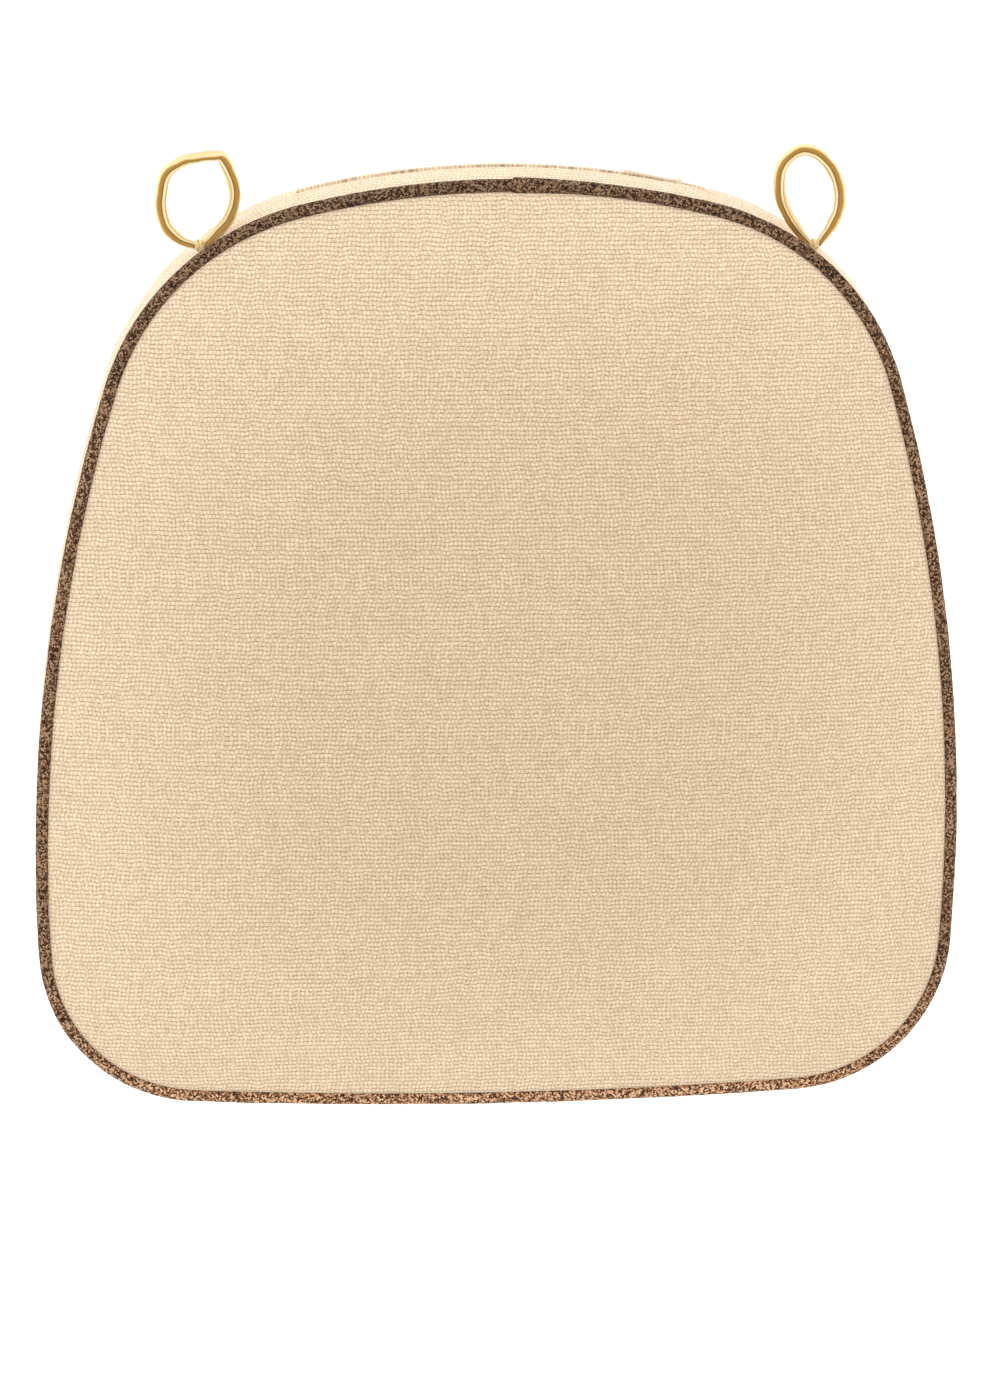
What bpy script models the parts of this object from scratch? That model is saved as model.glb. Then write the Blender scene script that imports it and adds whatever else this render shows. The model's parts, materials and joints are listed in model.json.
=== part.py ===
"""Boxed seat cushion: a piped woven cover with a rear zip and two satin loops,
over a foam core wrapped in wadding.

Metres, +Z up, the back of the cushion towards +Y, its underside on Z = 0.
The outline is a chain of arcs, so every point of it is named by its bearing:
the direction of the outward normal there, in degrees from +X.
"""
import bpy
import bmesh
from math import atan2, ceil, cos, degrees, pi, radians, sin, sqrt
from mathutils import Matrix, Vector

# Outline of the top seam, along the middle of the piping
SEAM_WIDTH = 0.391
SEAM_DEPTH = 0.400
FRONT_RADIUS = 2.3
SIDE_RADIUS = 0.72
BACK_RADIUS = 0.36
FRONT_CORNER_RADIUS = 0.067
BACK_CORNER_RADIUS = 0.109
WIDEST_FORWARD = 0.091      # how far the widest place lies in front of the middle
ARC_STEP = 8.0              # most degrees of turn between two points of the outline
REAR_STEP = 3.8             # the same where the zip's slider follows the curve
LINE_STEP = 0.05            # most length between two points of the outline

# Heights and layers
FABRIC = 0.0012             # woven cover cloth
GAP = 0.0003                # between pieces that touch
BOXING_HEIGHT = 0.043
BOXING_BULGE = 0.0078
CROWN = 0.0135              # rise of the top panel from its seam to its middle
WADDING_UNDER = 0.004

# Piping
PIPING_DIAMETER = 0.007
SLEEVE_WALL = 0.0009
SLEEVE_SLIT = 0.0004        # between the two layers of the flange
FLANGE_LENGTH = 0.0075
CORD_SIDES = 8              # sides of the sleeve's bore and of the cord in it

# Zip, in the rear boxing
ZIP_Z = 0.022
ZIP_OPENING = 0.009         # height left bare between the two rear strips
ZIP_LENGTH = 0.160          # from stop to stop, along the coil
COIL_HEIGHT = 0.0020
COIL_DEPTH = 0.0018
COIL_SPACING = 0.0012       # between the two coils, where the slider's neck runs
TAPE = 0.0006
TAPE_HEIGHT = 0.011
TAPE_TAIL = 0.007
TAB_GAP = 0.0007            # between a rear strip's end and the tab beyond it
STOP_LENGTH = 0.002

# Slider and pull tab
SLIDER_LENGTH = 0.011
SLIDER_HEIGHT = 0.0068
SLIDER_PLATE = 0.0009
SLIDER_NECK = 0.0005
PULL_LENGTH = 0.024
PULL_WIDTH = 0.005
PULL_THICKNESS = 0.0010
PULL_BAR_DIAMETER = 0.0009
PULL_EYE_DIAMETER = 0.0016
PULL_BARREL_DIAMETER = 0.0026
PULL_BARREL_WIDTH = 0.0030
LUG_WIDTH = 0.0009

# Satin loops
LOOP_DIAMETER = 0.0055
LOOP_Z = 0.040
RIGHT_LOOP_BEARING = 52.4
LEFT_LOOP_BEARING = 126.4
LOOP_PINCH = 0.6            # share of the diameter left where the ends are sewn together
TAIL_THICKNESS = 0.0012
TAIL_HEIGHT = 0.004
TAIL_INSIDE = 0.012
TAIL_OUTSIDE = 0.0042
LOOP_LEFT_SHAPE = ((-1.9, 0.0), (-8, 2.6), (-13.5, 8.5), (-15.5, 16.5), (-15, 24), (-12.5, 31),
                   (-7, 35.3), (0, 37), (6.5, 37.2), (10.8, 35.2), (14, 29.5), (15.5, 23),
                   (14.8, 16), (11.8, 9.5), (7, 4.2), (1.9, 0.0))
LOOP_RIGHT_SHAPE = ((-1.9, 0.0), (-6.5, 6), (-11, 12.5), (-14.3, 19.5), (-15.6, 27), (-14, 34),
                    (-9.5, 39), (-3.5, 40.4), (2.5, 37.5), (7, 32), (10, 26), (11, 20),
                    (10, 13.5), (6.5, 6.5), (1.9, 0.0))
LOOP_LEFT_LEAN = -34.4      # from the seam's normal to the loop's own axis, positive to the left
LOOP_RIGHT_LEAN = 37.6

PIPING_RADIUS = PIPING_DIAMETER / 2
BOXING_BASE = FABRIC + GAP
BOXING_TOP = BOXING_BASE + BOXING_HEIGHT
PIPING_Z = BOXING_TOP + GAP + SLEEVE_WALL + SLEEVE_SLIT / 2
PANEL_Z = PIPING_Z + SLEEVE_SLIT / 2 + SLEEVE_WALL + GAP
EDGE_INSET = PIPING_RADIUS + GAP
FOAM_INSET = EDGE_INSET + FABRIC + GAP
CROWN_SCALES = (1.0, 0.975, 0.93, 0.86, 0.74, 0.56, 0.3)
WADDING_SHRINK = FLANGE_LENGTH + GAP
SEAM_SLIT = TAIL_THICKNESS + 2 * GAP
LOOP_SEAMS = (RIGHT_LOOP_BEARING, LEFT_LOOP_BEARING)


def unit(bearing):
    return Vector((cos(radians(bearing)), sin(radians(bearing)), 0))


def where_circles_meet(first, first_radius, second, second_radius, towards):
    """The crossing of two circles that lies furthest along a direction."""
    between = second - first
    along = (first_radius ** 2 - second_radius ** 2 + between.length ** 2) / (2 * between.length)
    across = sqrt(first_radius ** 2 - along ** 2)
    middle = first + between.normalized() * along
    side = Vector((-between.y, between.x, 0)).normalized() * across
    return max((middle + side, middle - side), key=lambda point: point.dot(towards))


def right_hand_arcs():
    """Centre, radius and bearings of the arcs from the front's middle to the back's middle."""
    front = Vector((0, FRONT_RADIUS - SEAM_DEPTH / 2, 0))
    side = Vector((SEAM_WIDTH / 2 - SIDE_RADIUS, -WIDEST_FORWARD, 0))
    back = Vector((0, SEAM_DEPTH / 2 - BACK_RADIUS, 0))
    front_corner = where_circles_meet(front, FRONT_RADIUS - FRONT_CORNER_RADIUS,
                                      side, SIDE_RADIUS - FRONT_CORNER_RADIUS, Vector((1, -1, 0)))
    back_corner = where_circles_meet(back, BACK_RADIUS - BACK_CORNER_RADIUS,
                                     side, SIDE_RADIUS - BACK_CORNER_RADIUS, Vector((1, 1, 0)))

    def bearing(centre, point):
        return degrees(atan2(point.y - centre.y, point.x - centre.x))

    ends = (-90, bearing(front, front_corner), bearing(side, front_corner),
            bearing(side, back_corner), bearing(back, back_corner), 90)
    circles = ((front, FRONT_RADIUS), (front_corner, FRONT_CORNER_RADIUS), (side, SIDE_RADIUS),
               (back_corner, BACK_CORNER_RADIUS), (back, BACK_RADIUS))
    return [(centre, radius, ends[i], ends[i + 1]) for i, (centre, radius) in enumerate(circles)]


def all_arcs():
    """The arcs of the whole outline, counter-clockwise from the front's middle."""
    right = right_hand_arcs()
    left = [(Vector((-centre.x, centre.y, 0)), radius, 180 - end, 180 - start)
            for centre, radius, start, end in reversed(right)]
    return right + left


ARCS = all_arcs()


def arc_at(bearing):
    """Centre and radius of the arc that holds a bearing."""
    for centre, radius, start, end in ARCS:
        if start <= bearing <= end:
            return centre, radius
    raise ValueError(bearing)


def on_outline(bearing, offset=0.0, z=0.0):
    """The outline's point at a bearing, moved outwards by an offset."""
    centre, radius = arc_at(bearing)
    return centre + unit(bearing) * (radius + offset) + Vector((0, 0, z))


def outline_bearings():
    """The bearings of the outline's points, all the way round, with one at each seam's edge."""
    slit = degrees(SEAM_SLIT / 2 / BACK_CORNER_RADIUS)
    seam_edges = [bearing + side * slit for bearing in LOOP_SEAMS for side in (-1, 1)]
    found = [-90]
    for centre, radius, low, high in ARCS:
        stops = [low] + [edge for edge in seam_edges if low < edge < high] + [high]
        step = REAR_STEP if radius == BACK_RADIUS else ARC_STEP
        for start, stop in zip(stops, stops[1:]):
            turn = stop - start
            steps = max(1, ceil(turn / step), ceil(radians(turn) * radius / LINE_STEP))
            found += [start + turn * i / steps for i in range(1, steps + 1)]
    return found


def bearings(start, stop):
    """Two bearings and those of the outline's points between them."""
    close = 0.001
    return [start] + [b for b in outline_bearings() if start + close < b < stop - close] + [stop]


def along(bearing, length):
    """The bearing reached by going a length along the outline, counter-clockwise if positive."""
    ahead = length > 0
    left = abs(length)
    for centre, radius, low, high in ARCS if ahead else reversed(ARCS):
        end = high if ahead else low
        turn = end - bearing if ahead else bearing - end
        if turn <= 0:
            continue
        if radians(turn) * radius >= left:
            return bearing + degrees(left / radius) * (1 if ahead else -1)
        left -= radians(turn) * radius
        bearing = end
    raise ValueError(length)


def material(name, colour, roughness, metallic=0.0):
    made = bpy.data.materials.new(name)
    made.use_nodes = True
    shader = made.node_tree.nodes["Principled BSDF"]
    shader.inputs["Base Color"].default_value = (*colour, 1)
    shader.inputs["Roughness"].default_value = roughness
    shader.inputs["Metallic"].default_value = metallic
    return made


def new_collection(name):
    made = bpy.data.collections.new(name)
    bpy.context.scene.collection.children.link(made)
    return made


def add_object(name, data, finish=None, collection=None):
    made = bpy.data.objects.new(name, data)
    (collection or PARTS).objects.link(made)
    if finish:
        made.data.materials.append(finish)
    return made


def poly_curve(name, points, cyclic, flat=False):
    curve = bpy.data.curves.new(name, "CURVE")
    curve.dimensions = "2D" if flat else "3D"
    spline = curve.splines.new("POLY")
    spline.points.add(len(points) - 1)
    for target, point in zip(spline.points, points):
        target.co = (*point[:2], point[2] if len(point) > 2 else 0, 1)
    spline.use_cyclic_u = cyclic
    return curve


def curve_to_mesh(made):
    """Replace a curve object by a welded mesh object of the same name and place."""
    bpy.context.view_layer.update()
    evaluated = made.evaluated_get(bpy.context.evaluated_depsgraph_get())
    mesh = bpy.data.meshes.new_from_object(evaluated)
    name, place, collection = made.name, made.matrix_world.copy(), made.users_collection[0]
    curve = made.data
    bpy.data.objects.remove(made)
    bpy.data.curves.remove(curve)
    mesh.name = name
    work = bmesh.new()
    work.from_mesh(mesh)
    bmesh.ops.remove_doubles(work, verts=work.verts, dist=0.000001)
    bmesh.ops.recalc_face_normals(work, faces=work.faces)
    work.to_mesh(mesh)
    work.free()
    result = add_object(name, mesh, collection=collection)
    result.matrix_world = place
    return result


def swept(name, section, path, cyclic, finish):
    """A section of (outward offset, height) points carried along the outline."""
    profile = add_object(name + "_section", poly_curve(name + "_section", section, True, flat=True),
                         collection=GUIDES)
    curve = poly_curve(name, path, cyclic)
    curve.twist_mode = "Z_UP"
    curve.bevel_mode = "OBJECT"
    curve.bevel_object = profile
    curve.use_fill_caps = not cyclic
    made = curve_to_mesh(add_object(name, curve, finish))
    hide_guide(profile)
    return made


def hide_guide(guide):
    guide.hide_render = True
    guide.display_type = "WIRE"


def whole_outline():
    """The closed outline of the seam, without its last point, which is the first again."""
    return [on_outline(bearing) for bearing in bearings(-90, 270)[:-1]]


def slab(name, inset, bottom, top, finish):
    """A flat layer with the cushion's outline."""
    edge = [on_outline(bearing, -inset) for bearing in bearings(-90, 270)[:-1]]
    curve = poly_curve(name, edge, True, flat=True)
    curve.fill_mode = "BOTH"
    curve.extrude = (top - bottom) / 2
    made = add_object(name, curve, finish)
    made.location.z = (top + bottom) / 2
    return curve_to_mesh(made)


def crown_height(scale):
    """Rise of the panel over its edge, at a share of the way from the middle to the edge."""
    return CROWN * (1 - scale ** 2.4) ** 0.72


def crowned(name, scales, top, bottom, finish):
    """A closed body between two surfaces given as height against share of the outline."""
    work = bmesh.new()
    edge = [on_outline(bearing, -EDGE_INSET) for bearing in bearings(-90, 270)[:-1]]

    def ring(scale, height):
        return [work.verts.new((point.x * scale, point.y * scale, height)) for point in edge]

    rings = [ring(scale, top(scale)) for scale in reversed(scales)]
    rings += [ring(scale, bottom(scale)) for scale in scales]
    for inner, outer in zip(rings, rings[1:]):
        for i, corner in enumerate(inner):
            after = (i + 1) % len(inner)
            work.faces.new((corner, outer[i], outer[after], inner[after]))
    for loop, peak in ((rings[0], top(0)), (rings[-1], bottom(0))):
        middle = work.verts.new((0, 0, peak))
        for i, corner in enumerate(loop):
            work.faces.new((corner, loop[(i + 1) % len(loop)], middle))
    bmesh.ops.recalc_face_normals(work, faces=work.faces)
    mesh = bpy.data.meshes.new(name)
    work.to_mesh(mesh)
    work.free()
    made = add_object(name, mesh, finish)
    mesh.shade_smooth()
    mesh.set_sharp_from_angle(angle=radians(40))
    return made


def boxing_offset(z):
    """Outward offset of the boxing's outer face at a height: it bulges between its two seams."""
    share = min(max((z - BOXING_BASE) / BOXING_HEIGHT, 0), 1)
    return BOXING_BULGE * sin(pi * share) ** 0.6 - EDGE_INSET


def band_section(low, high, rows, depth, thickness):
    """A layer that follows the boxing's bulge, its outer face a depth inside the boxing's own."""
    heights = [low + (high - low) * i / rows for i in range(rows + 1)]
    outer = [(boxing_offset(z) - depth, z) for z in heights]
    inner = [(boxing_offset(z) - depth - thickness, z) for z in reversed(heights)]
    return outer + inner


ZIP_FACE = boxing_offset(ZIP_Z - ZIP_OPENING / 2)       # outer face of the boxing beside the zip
TAPE_FACE = ZIP_FACE - FABRIC - GAP
COIL_FACE = TAPE_FACE - TAPE / 2 + COIL_DEPTH / 2
ZIP_START = along(90, -ZIP_LENGTH / 2)
ZIP_STOP = along(90, ZIP_LENGTH / 2)
TAPE_START = along(ZIP_START, -TAPE_TAIL)
TAPE_STOP = along(ZIP_STOP, TAPE_TAIL)


def make_covers(cloth):
    """Top and bottom panels, and the side band: its long front piece, the two strips
    that hold the zip and a tab beyond each end of it."""
    crowned("top_panel", CROWN_SCALES, lambda scale: PANEL_Z + FABRIC + crown_height(scale),
            lambda scale: PANEL_Z + crown_height(scale), cloth)
    slab("bottom_panel", EDGE_INSET, 0, FABRIC, cloth)
    slit = degrees(SEAM_SLIT / 2 / BACK_CORNER_RADIUS)
    right, left = LOOP_SEAMS
    front_edge = [on_outline(bearing) for bearing in bearings(left + slit, 270)]
    front_edge += [on_outline(bearing) for bearing in bearings(-90, right - slit)[1:]]
    section = band_section(BOXING_BASE, BOXING_TOP, 8, 0, FABRIC)
    swept("boxing_front", section, front_edge, False, cloth)
    tabs = (("right", right + slit, along(TAPE_START, -TAB_GAP)),
            ("left", along(TAPE_STOP, TAB_GAP), left - slit))
    for side, start, stop in tabs:
        path = [on_outline(bearing) for bearing in bearings(start, stop)]
        swept("boxing_tab_" + side, section, path, False, cloth)
    rear_edge = [on_outline(bearing) for bearing in bearings(TAPE_START, TAPE_STOP)]
    half = ZIP_OPENING / 2
    section = band_section(BOXING_BASE, ZIP_Z - half, 3, 0, FABRIC)
    swept("boxing_rear_lower", section, rear_edge, False, cloth)
    section = band_section(ZIP_Z + half, BOXING_TOP, 4, 0, FABRIC)
    swept("boxing_rear_upper", section, rear_edge, False, cloth)


def make_padding(foam, wadding):
    slab("wadding_under", FOAM_INSET, BOXING_BASE, BOXING_BASE + WADDING_UNDER, wadding)
    slab("foam_core", FOAM_INSET, BOXING_BASE + WADDING_UNDER + GAP, BOXING_TOP, foam)
    edge_scale = 1 - WADDING_SHRINK / (min(SEAM_WIDTH, SEAM_DEPTH) / 2 - EDGE_INSET)
    scales = [edge_scale] + [scale for scale in CROWN_SCALES if scale < edge_scale - 0.01]
    crowned("wadding_over", scales, lambda scale: PANEL_Z - GAP + crown_height(scale),
            lambda scale: BOXING_TOP + GAP, wadding)


def make_piping(sleeve_cloth, cord):
    """A folded strip round a filler cord, its two edges sewn in as a flange."""
    inner_radius = PIPING_RADIUS - SLEEVE_WALL
    flange_end = -PIPING_RADIUS - FLANGE_LENGTH

    def arc(radius, half_height, steps, backwards):
        """Points round the cord from the flange's top to its bottom, the outside way."""
        opening = 180 - degrees(atan2(half_height, sqrt(radius ** 2 - half_height ** 2)))
        turns = [opening - 2 * opening * i / steps for i in range(steps + 1)]
        if backwards:
            turns.reverse()
        return [(radius * cos(radians(turn)), PIPING_Z + radius * sin(radians(turn)))
                for turn in turns]

    outer_half = SLEEVE_SLIT / 2 + SLEEVE_WALL
    inner_half = SLEEVE_SLIT / 2
    section = [(flange_end, PIPING_Z + outer_half)]
    section += arc(PIPING_RADIUS, outer_half, 8, False)
    section += [(flange_end, PIPING_Z - outer_half), (flange_end, PIPING_Z - inner_half)]
    section += arc(inner_radius, inner_half, CORD_SIDES, True)
    section += [(flange_end, PIPING_Z + inner_half)]
    section.reverse()
    swept("piping_sleeve", section, whole_outline(), True, sleeve_cloth)
    cord_radius = inner_radius * cos(pi / CORD_SIDES) - GAP
    turns = [2 * pi * i / CORD_SIDES for i in range(CORD_SIDES)]
    ring = [(cord_radius * cos(turn), PIPING_Z + cord_radius * sin(turn)) for turn in turns]
    swept("piping_cord", ring, whole_outline(), True, cord)


def rectangle(offset, depth, low, high):
    """A section that reaches inwards by its depth from an offset, between two heights."""
    return [(offset, low), (offset, high), (offset - depth, high), (offset - depth, low)]


def make_zip(tape_cloth, plastic):
    """Two tapes with a coil on the edge of each, and a stop at each end."""
    coil_near = COIL_SPACING / 2
    tape_near = coil_near + COIL_HEIGHT + GAP
    coil_path = [on_outline(bearing) for bearing in bearings(ZIP_START, ZIP_STOP)]
    tape_path = [on_outline(bearing) for bearing in bearings(TAPE_START, TAPE_STOP)]
    for side, sign in (("upper", 1), ("lower", -1)):
        low, high = sorted((ZIP_Z + sign * coil_near, ZIP_Z + sign * (coil_near + COIL_HEIGHT)))
        swept("zip_coil_" + side, rectangle(COIL_FACE, COIL_DEPTH, low, high), coil_path, False,
              plastic)
        low, high = sorted((ZIP_Z + sign * tape_near, ZIP_Z + sign * (tape_near + TAPE_HEIGHT)))
        section = band_section(low, high, 3, FABRIC + GAP, TAPE)
        swept("zip_tape_" + side, section, tape_path, False, tape_cloth)
    stops = (("right", along(ZIP_START, -GAP - STOP_LENGTH)), ("left", along(ZIP_STOP, GAP)))
    for side, start in stops:
        path = [on_outline(start), on_outline(along(start, STOP_LENGTH))]
        section = rectangle(COIL_FACE, COIL_DEPTH, ZIP_Z - coil_near - COIL_HEIGHT,
                            ZIP_Z + coil_near + COIL_HEIGHT)
        swept("zip_stop_" + side, section, path, False, plastic)


def box(name, size, centre, collection, finish=None):
    """A box in the slider's own frame: X along the zip, Y outwards, Z up."""
    bpy.ops.mesh.primitive_cube_add(size=1, location=(0, 0, 0))
    made = bpy.context.object
    made.name = name
    made.data.name = name
    made.data.transform(Matrix.Translation(centre) @ Matrix.Diagonal((*size, 1)))
    return move_to(made, collection, finish)


def rod(name, radius, height, centre, collection, finish=None):
    bpy.ops.mesh.primitive_cylinder_add(vertices=16, radius=radius, depth=height,
                                        location=(0, 0, 0))
    made = bpy.context.object
    made.name = name
    made.data.name = name
    made.data.transform(Matrix.Translation(centre))
    return move_to(made, collection, finish)


def move_to(made, collection, finish):
    for current in list(made.users_collection):
        current.objects.unlink(made)
    collection.objects.link(made)
    if collection == GUIDES:
        hide_guide(made)
    if finish:
        made.data.materials.append(finish)
    return made


def boolean(target, tools, operation):
    for tool in tools:
        modifier = target.modifiers.new(tool.name, "BOOLEAN")
        modifier.operation = operation
        modifier.object = tool


def zip_pivot(bearing):
    """An empty on the axis that the slider turns about, its +Y pointing at the slider."""
    frame = add_object("zip_pivot", None)
    frame.location = arc_at(bearing)[0]
    frame.rotation_euler.z = radians(bearing - 90)
    return frame


def make_slider(metal, pull_metal):
    """The slider grips both coils with two plates and a neck, and carries the pull on a bar."""
    rest = along(ZIP_START, SLIDER_LENGTH / 2 + GAP)
    pivot = zip_pivot(rest)
    outer_low = arc_at(rest)[1] + COIL_FACE + GAP
    outer_high = outer_low + SLIDER_PLATE
    inner_high = outer_low - COIL_DEPTH - 2 * GAP
    inner_low = inner_high - SLIDER_PLATE
    bar_y = outer_high + PULL_BARREL_DIAMETER / 2 + GAP
    lug_top = bar_y + PULL_BAR_DIAMETER
    slider = box("zip_slider", (SLIDER_LENGTH, SLIDER_PLATE, SLIDER_HEIGHT),
                 (0, (outer_low + outer_high) / 2, ZIP_Z), PARTS, metal)
    inner_plate = box("slider_inner_plate", (SLIDER_LENGTH, SLIDER_PLATE, SLIDER_HEIGHT - 0.002),
                      (0, (inner_low + inner_high) / 2, ZIP_Z), GUIDES)
    neck = box("slider_neck", (SLIDER_LENGTH * 0.6, outer_high - inner_low - SLIDER_PLATE,
                               SLIDER_NECK), (0, (inner_low + outer_high) / 2, ZIP_Z), GUIDES)
    tools = [inner_plate, neck]
    lug_out = PULL_BARREL_WIDTH / 2 + GAP + LUG_WIDTH / 2
    for side in (-1, 1):
        lug_low = outer_high - SLIDER_PLATE / 2
        tools.append(box("slider_lug", (PULL_BAR_DIAMETER * 2.2, lug_top - lug_low, LUG_WIDTH),
                         (0, (lug_low + lug_top) / 2, ZIP_Z + side * lug_out), GUIDES))
    tools.append(rod("slider_bar", PULL_BAR_DIAMETER / 2, 2 * lug_out, (0, bar_y, ZIP_Z), GUIDES))
    boolean(slider, tools, "UNION")
    pull = rod("zip_pull", PULL_BARREL_DIAMETER / 2, PULL_BARREL_WIDTH, (0, bar_y, ZIP_Z),
               PARTS, pull_metal)
    stem_length = LUG_WIDTH * 4
    stem = box("pull_stem", (stem_length, PULL_THICKNESS, PULL_BARREL_WIDTH * 0.9),
               (-stem_length / 2 - PULL_EYE_DIAMETER / 2, bar_y, ZIP_Z), GUIDES)
    tab_length = PULL_LENGTH - stem_length
    tab = box("pull_tab", (tab_length, PULL_THICKNESS, PULL_WIDTH),
              (-stem_length - tab_length / 2, bar_y, ZIP_Z), GUIDES)
    eye = rod("pull_eye", PULL_EYE_DIAMETER / 2, PULL_WIDTH * 2, (0, bar_y, ZIP_Z), GUIDES)
    boolean(pull, (stem, tab), "UNION")
    boolean(pull, (eye,), "DIFFERENCE")
    for piece in (slider, pull, *tools, stem, tab, eye):
        piece.parent = pivot


def loop_curve(name, shape, diameter, finish):
    """A satin tube along a smooth line through the loop's shape, in millimetres, pinched at its ends."""
    points = [Vector((x / 1000, y / 1000, 0)) for x, y in shape]
    padded = [2 * points[0] - points[1]] + points + [2 * points[-1] - points[-2]]
    line = []
    for before, start, end, after in zip(padded, padded[1:], padded[2:], padded[3:]):
        for share in (0, 0.5):
            line.append(catmull_rom(before, start, end, after, share))
    line.append(points[-1])
    curve = poly_curve(name, line, False)
    curve.twist_mode = "Z_UP"
    curve.bevel_depth = diameter / 2
    curve.bevel_resolution = 2
    curve.use_fill_caps = True
    widths = [LOOP_PINCH, LOOP_PINCH, 0.75, 0.92]
    for i, point in enumerate(curve.splines[0].points):
        from_end = min(i, len(line) - 1 - i)
        point.radius = widths[from_end] if from_end < len(widths) else 1
    return add_object(name, curve, finish)


def catmull_rom(before, start, end, after, share):
    """A point on the smooth curve from start to end that heads as its neighbours do."""
    return 0.5 * (2 * start + (end - before) * share
                  + (2 * before - 5 * start + 4 * end - after) * share ** 2
                  + (3 * start - before - 3 * end + after) * share ** 3)


def make_loops(satin):
    """Each loop swings about the end of its own sewn tails, outside the seam."""
    face = boxing_offset(LOOP_Z)
    loops = (("left", LEFT_LOOP_BEARING, LOOP_LEFT_SHAPE, LOOP_LEFT_LEAN),
             ("right", RIGHT_LOOP_BEARING, LOOP_RIGHT_SHAPE, LOOP_RIGHT_LEAN))
    for side, bearing, shape, lean in loops:
        tail = tail_outline(1 if side == "left" else -1, face)
        curve = poly_curve("loop_tails_" + side, tail, True, flat=True)
        curve.fill_mode = "BOTH"
        curve.extrude = TAIL_HEIGHT / 2
        tails = add_object("loop_tails_" + side, curve, satin)
        tails.location = on_outline(bearing, face, LOOP_Z)
        tails.rotation_euler.z = radians(bearing - 90)
        curve_to_mesh(tails)
        pivot = add_object("loop_pivot_" + side, None)
        pivot.location = on_outline(bearing, face + TAIL_OUTSIDE + GAP, LOOP_Z)
        pivot.rotation_euler.z = radians(bearing - 90 + lean)
        loop = curve_to_mesh(loop_curve("loop_" + side, shape, LOOP_DIAMETER, satin))
        loop.parent = pivot
        loop.data.shade_smooth()
        loop.data.set_sharp_from_angle(angle=radians(50))


def tail_outline(inwards, face):
    """The flat sewn ends from above: out through the seam's slit, and along the boxing inside.
    X runs along the seam and Y outwards, with the boxing's outer face at Y = 0."""
    half = TAIL_THICKNESS / 2
    out = TAIL_OUTSIDE
    slope = boxing_offset(LOOP_Z + TAIL_HEIGHT / 2) - face
    near = slope - FABRIC - GAP - TAIL_THICKNESS * 0.5
    far = near - TAIL_THICKNESS
    end = -inwards * TAIL_INSIDE
    drop = TAIL_INSIDE ** 2 / (2 * (BACK_CORNER_RADIUS + face))
    corner = -inwards * half
    return [(-corner, out), (corner, out), (corner, near), (end, near - drop),
            (end, far - drop), (-corner, far)]


def main():
    cloth = material("woven_cloth", (0.75, 0.57, 0.39), 0.9)
    tweed = material("brown_tweed", (0.16, 0.08, 0.05), 0.9)
    satin = material("gold_satin", (0.72, 0.45, 0.12), 0.35)
    foam = material("foam", (0.85, 0.80, 0.60), 0.95)
    wadding = material("wadding", (0.90, 0.90, 0.88), 0.95)
    cord = material("cotton_cord", (0.80, 0.78, 0.70), 0.9)
    tape = material("zip_tape", (0.70, 0.55, 0.38), 0.85)
    coil = material("zip_coil", (0.62, 0.47, 0.32), 0.45)
    metal = material("slider_metal", (0.60, 0.50, 0.30), 0.3, 1.0)
    make_covers(cloth)
    make_padding(foam, wadding)
    make_piping(tweed, cord)
    make_zip(tape, coil)
    make_slider(metal, metal)
    make_loops(satin)


for leftover in list(bpy.data.objects):
    bpy.data.objects.remove(leftover)
PARTS = new_collection("seat_cushion")
GUIDES = new_collection("cutters_and_guides")
main()
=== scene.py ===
import json
from math import acos, atan2, ceil, cos, degrees, exp, pi, radians, sin, sqrt

import bmesh
import bpy
import numpy as np
from bpy.props import FloatProperty, FloatVectorProperty, IntProperty, PointerProperty
from mathutils import Matrix, Vector, noise
from mathutils.bvhtree import BVHTree
from mathutils.geometry import delaunay_2d_cdt


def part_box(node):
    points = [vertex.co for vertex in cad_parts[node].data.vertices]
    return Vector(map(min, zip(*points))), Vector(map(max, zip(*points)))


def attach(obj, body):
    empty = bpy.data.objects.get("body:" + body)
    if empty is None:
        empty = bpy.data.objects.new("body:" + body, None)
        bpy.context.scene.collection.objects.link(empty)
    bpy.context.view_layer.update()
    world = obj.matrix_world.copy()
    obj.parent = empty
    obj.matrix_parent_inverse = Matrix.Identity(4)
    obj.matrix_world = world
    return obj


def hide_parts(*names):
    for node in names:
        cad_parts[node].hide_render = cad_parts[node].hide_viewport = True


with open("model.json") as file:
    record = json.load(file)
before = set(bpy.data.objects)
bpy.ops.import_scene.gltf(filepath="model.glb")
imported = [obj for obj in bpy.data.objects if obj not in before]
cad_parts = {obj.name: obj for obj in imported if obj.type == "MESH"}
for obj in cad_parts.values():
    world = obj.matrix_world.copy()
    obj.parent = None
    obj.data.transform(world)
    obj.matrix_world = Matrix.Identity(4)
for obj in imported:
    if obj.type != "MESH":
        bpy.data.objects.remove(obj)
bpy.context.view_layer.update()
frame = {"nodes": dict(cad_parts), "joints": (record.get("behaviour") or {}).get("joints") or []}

bl_info = {
    "name": "Piped seat cushion",
    "version": (1, 0, 0),
    "blender": (4, 5, 0),
    "location": "View3D > Sidebar > Cushion",
    "description": "Dresses the packed seat cushion in woven cloth, piping, a zip and satin loops",
    "category": "Object",
}

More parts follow.
